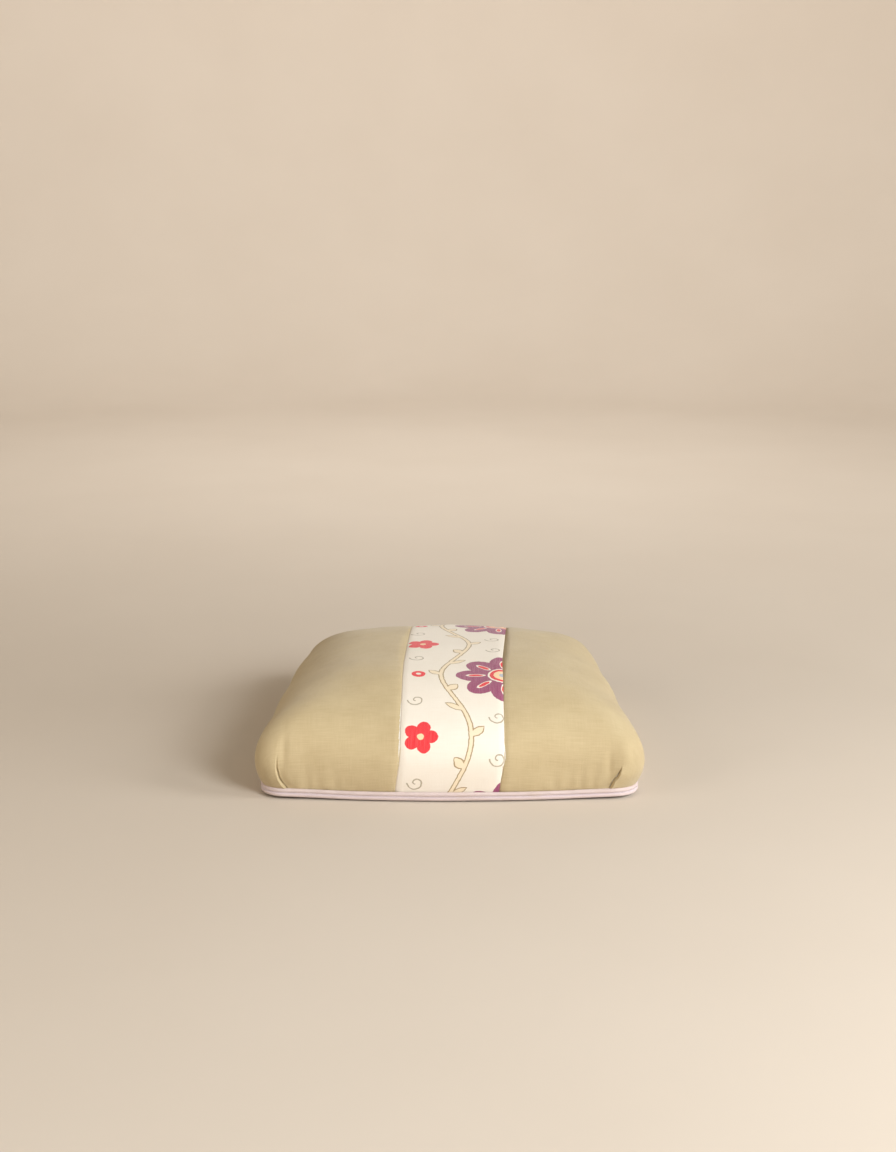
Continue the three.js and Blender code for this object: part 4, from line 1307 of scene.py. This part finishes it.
def pipingFinish():
    # bias cut cotton with a sewn valley between the two rounds, with painted shade in the valley
    made, start = newMaterial("piping cloth")
    flat = clothPlace(start)
    height, weft, warp = plainWeave(flat.turned(45), 0.42)
    cloudy = flat.noise(0.05, 3, 0.6)
    tone = weft * 0.5 + warp * 0.5 + cloudy * 0.8 - 0.35
    color = mixed(start, rgb(192, 172, 168), rgb(218, 202, 199), tone.share())
    fromValley = (flat.axis("X") - piping["valleyAcross"]).size()
    valley = fromValley.under(1.2, 1.6)
    # painted shade: the valley between the two rounds is tinted darker and lilac
    color = color.toward(rgb(203, 187, 196), valley * 0.75)
    beat = (flat.axis("Y") * (2 * math.pi / piping["stitch"])).sin()
    stitch = beat.over(-0.15) * fromValley.under(0.42, 0.25)
    color = color.toward(rgb(236, 226, 224), stitch * 0.8)
    soiled = flat.scaled(1, 0.35, 1).noise(0.06, 3)
    color = color.toward(rgb(198, 178, 160), ((soiled - 0.56) * 2.2).share(0.35))
    relief = height * 0.6 + (weft + warp) + stitch * 2.4 - valley * 1.4
    return finishMaterial(made, start, color, 0.74 + cloudy * 0.1, relief, 0.00016,
                          {"Sheen Weight": 0.15, "Specular IOR Level": 0.3})


def dustFinish():
    # black cambric, its dots pressed in a diagonal grid
    made, start = newMaterial("dust cloth")
    place = clothPlace(start)
    turned = place.turned(45)
    dots = (turned.axis("X") * (2 * math.pi / 1.6)).sin() * (turned.axis("Y") * (2 * math.pi / 1.6)).sin()
    lint = place.noise(0.6, 4, 0.7)
    color = mixed(start, rgb(27, 27, 30), rgb(62, 60, 61), ((lint - 0.4) * 1.6 + dots * 0.08).share())
    return finishMaterial(made, start, color, 0.86 + lint * 0.1, dots + lint, 0.00012, {"Specular IOR Level": 0.25})


def floorFinish():
    # plain pale paper, hardly uneven
    made, start = newMaterial("studio paper")
    place = objectPlace(start)
    color = mixed(start, rgb(214, 202, 188), rgb(207, 194, 179), place.noise(0.002, 3))
    return finishMaterial(made, start, color, 0.9, place.noise(0.05, 4), 0.0001, {"Specular IOR Level": 0.1})


finishes = {
    "olive_linen": linenFinish("olive linen", rgb(210, 192, 153), rgb(180, 159, 121)),
    "printed_linen": linenFinish("printed linen", rgb(243, 235, 223), rgb(233, 222, 206), floralPrint),
    "hardwood": woodFinish("beech across", "x"),
    "jute_webbing": wovenFinish("jute webbing", rgb(193, 163, 114), rgb(140, 108, 68), 1.5, 0.0006,
                                stripe={"turn": 51.0, "at": 6.0, "half": 1.6, "color": rgb(74, 62, 58)}),
    "spring_wire": wireFinish(),
    "laid_cord": cordFinish("laid twine", rgb(216, 193, 148), rgb(150, 120, 78), 3.5),
    "hessian": wovenFinish("hessian", rgb(190, 154, 106), rgb(138, 104, 66), 1.9, 0.0005, gaps=0.7),
    "hair_stuffing": fibreFinish("curled hair", rgb(112, 84, 60), rgb(34, 25, 19), 1.0, 0.0016),
    "wadding": fibreFinish("cotton wadding", rgb(246, 243, 236), rgb(222, 216, 204), 0.6, 0.0009),
    "calico": wovenFinish("calico", rgb(236, 226, 204), rgb(214, 201, 174), 0.45, 0.00012, speck=0.7),
    "dust_cloth": dustFinish(),
    "piping_cord": cordFinish("cotton cord", rgb(240, 236, 226), rgb(206, 198, 182), 4.0),
    "piping_cloth": pipingFinish(),
}
beechAlong = woodFinish("beech along", "y")
print("materials made")


# the studio: a round floor that curves up into a wall on every side
studio = {"flat": 3600, "radius": 1500, "top": 4200, "columns": 96, "low": -0.6}


def studioFloor():
    # a profile of distance and height turned about the middle
    turn = np.linspace(0, math.pi / 2, 22)
    flat, bend = studio["flat"], studio["radius"]
    far = np.concatenate([np.linspace(0.02, 1, 12)[:-1] * flat, flat + bend * np.sin(turn), [flat + bend]])
    high = np.concatenate([np.zeros(11), bend * (1 - np.cos(turn)), [studio["top"]]]) + studio["low"]
    angle = np.linspace(0, 2 * np.pi, studio["columns"], endpoint=False)
    grid = ringPoints(far[:, None] * np.ones_like(angle), angle, high[:, None]).reshape(-1, 3)
    quads = gridQuads(len(far), len(angle), wrap=True)
    middle = [(k, (k + 1) % len(angle), len(grid)) for k in range(len(angle))][::-1]
    mesh = bpy.data.meshes.new("floor")
    mesh.from_pydata((np.concatenate([grid, [[0, 0, studio["low"]]]]) * mm).tolist(), [],
                     quads[:, ::-1].tolist() + middle)
    mesh.polygons.foreach_set("use_smooth", np.ones(len(mesh.polygons), bool))
    mesh.update()
    floor = placed(bpy.data.objects.new("floor", mesh))
    floor.data.materials.append(floorFinish())


studioFloor()


# which body each piece moves with, its finish, which pieces keep their placement in their mesh and move with no body,
# and what it stands for
pieces.update({"cover_left_panel": leftPanel, "cover_right_panel": rightPanel, "cover_centre_panel": centrePanel})
slotOf = {part["node"]: part["material_slot"] for part in frame["record"]["subparts"]}
yielding = ("cover_left_panel", "cover_right_panel", "cover_centre_panel", "wadding", "calico_lining",
            "second_stuffing", "scrim")
# pieces that sit on the springs, which get a mesh of their own: height of the fixed end in metres, share of its
# height kept when pressed
pressed = {"spring_canvas": (0.028, 0.46), "spring_": (0.0039, 0.64), "lashing_": (0.026, 0.47)}
shownAs = {
    "cover_left_panel": "linen_panel_left", "cover_right_panel": "linen_panel_right",
    "cover_centre_panel": "printed_panel_centre", "spring_canvas": "hessian_over_springs", "spring_": "coil_spring_",
    "lashing_": "lashing_twine_", "webbing_": "webbing_strap_", "edge_roll_": "stitched_edge_roll_",
    "piping_cover_": "double_piping_cloth_", "piping_cord_": "piping_filler_cord_",
    "dust_cover": "dust_cloth_underneath", "wadding": "cotton_wadding_layer",
    "calico_lining": "calico_under_the_cover", "second_stuffing": "second_hair_stuffing",
    "scrim": "hessian_scrim", "first_stuffing_centre": "first_hair_stuffing",
}


def firstMatch(table, name):
    # the entry of a table whose key begins the name
    return next(((key, value) for key, value in table.items() if name.startswith(key)), (None, None))


for name, piece in pieces.items():
    key, shown = firstMatch(shownAs, name)
    piece.name = shown + name[len(key):]
    piece.data.materials.append(finishes[slotOf[name]])
    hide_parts(name)
    if name in yielding:
        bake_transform(piece)
        continue
    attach(piece, "sprung_centre" if name == "first_stuffing_centre" else "seat_base")
    key, held = firstMatch(pressed, name)
    if key:
        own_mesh(piece)

for name in (part for part in slotOf if slotOf[part] == "hardwood"):
    finish = beechAlong if name in ("rail_left", "rail_right") else finishes["hardwood"]
    for slot in bpy.data.objects[name].material_slots:
        slot.material = finish
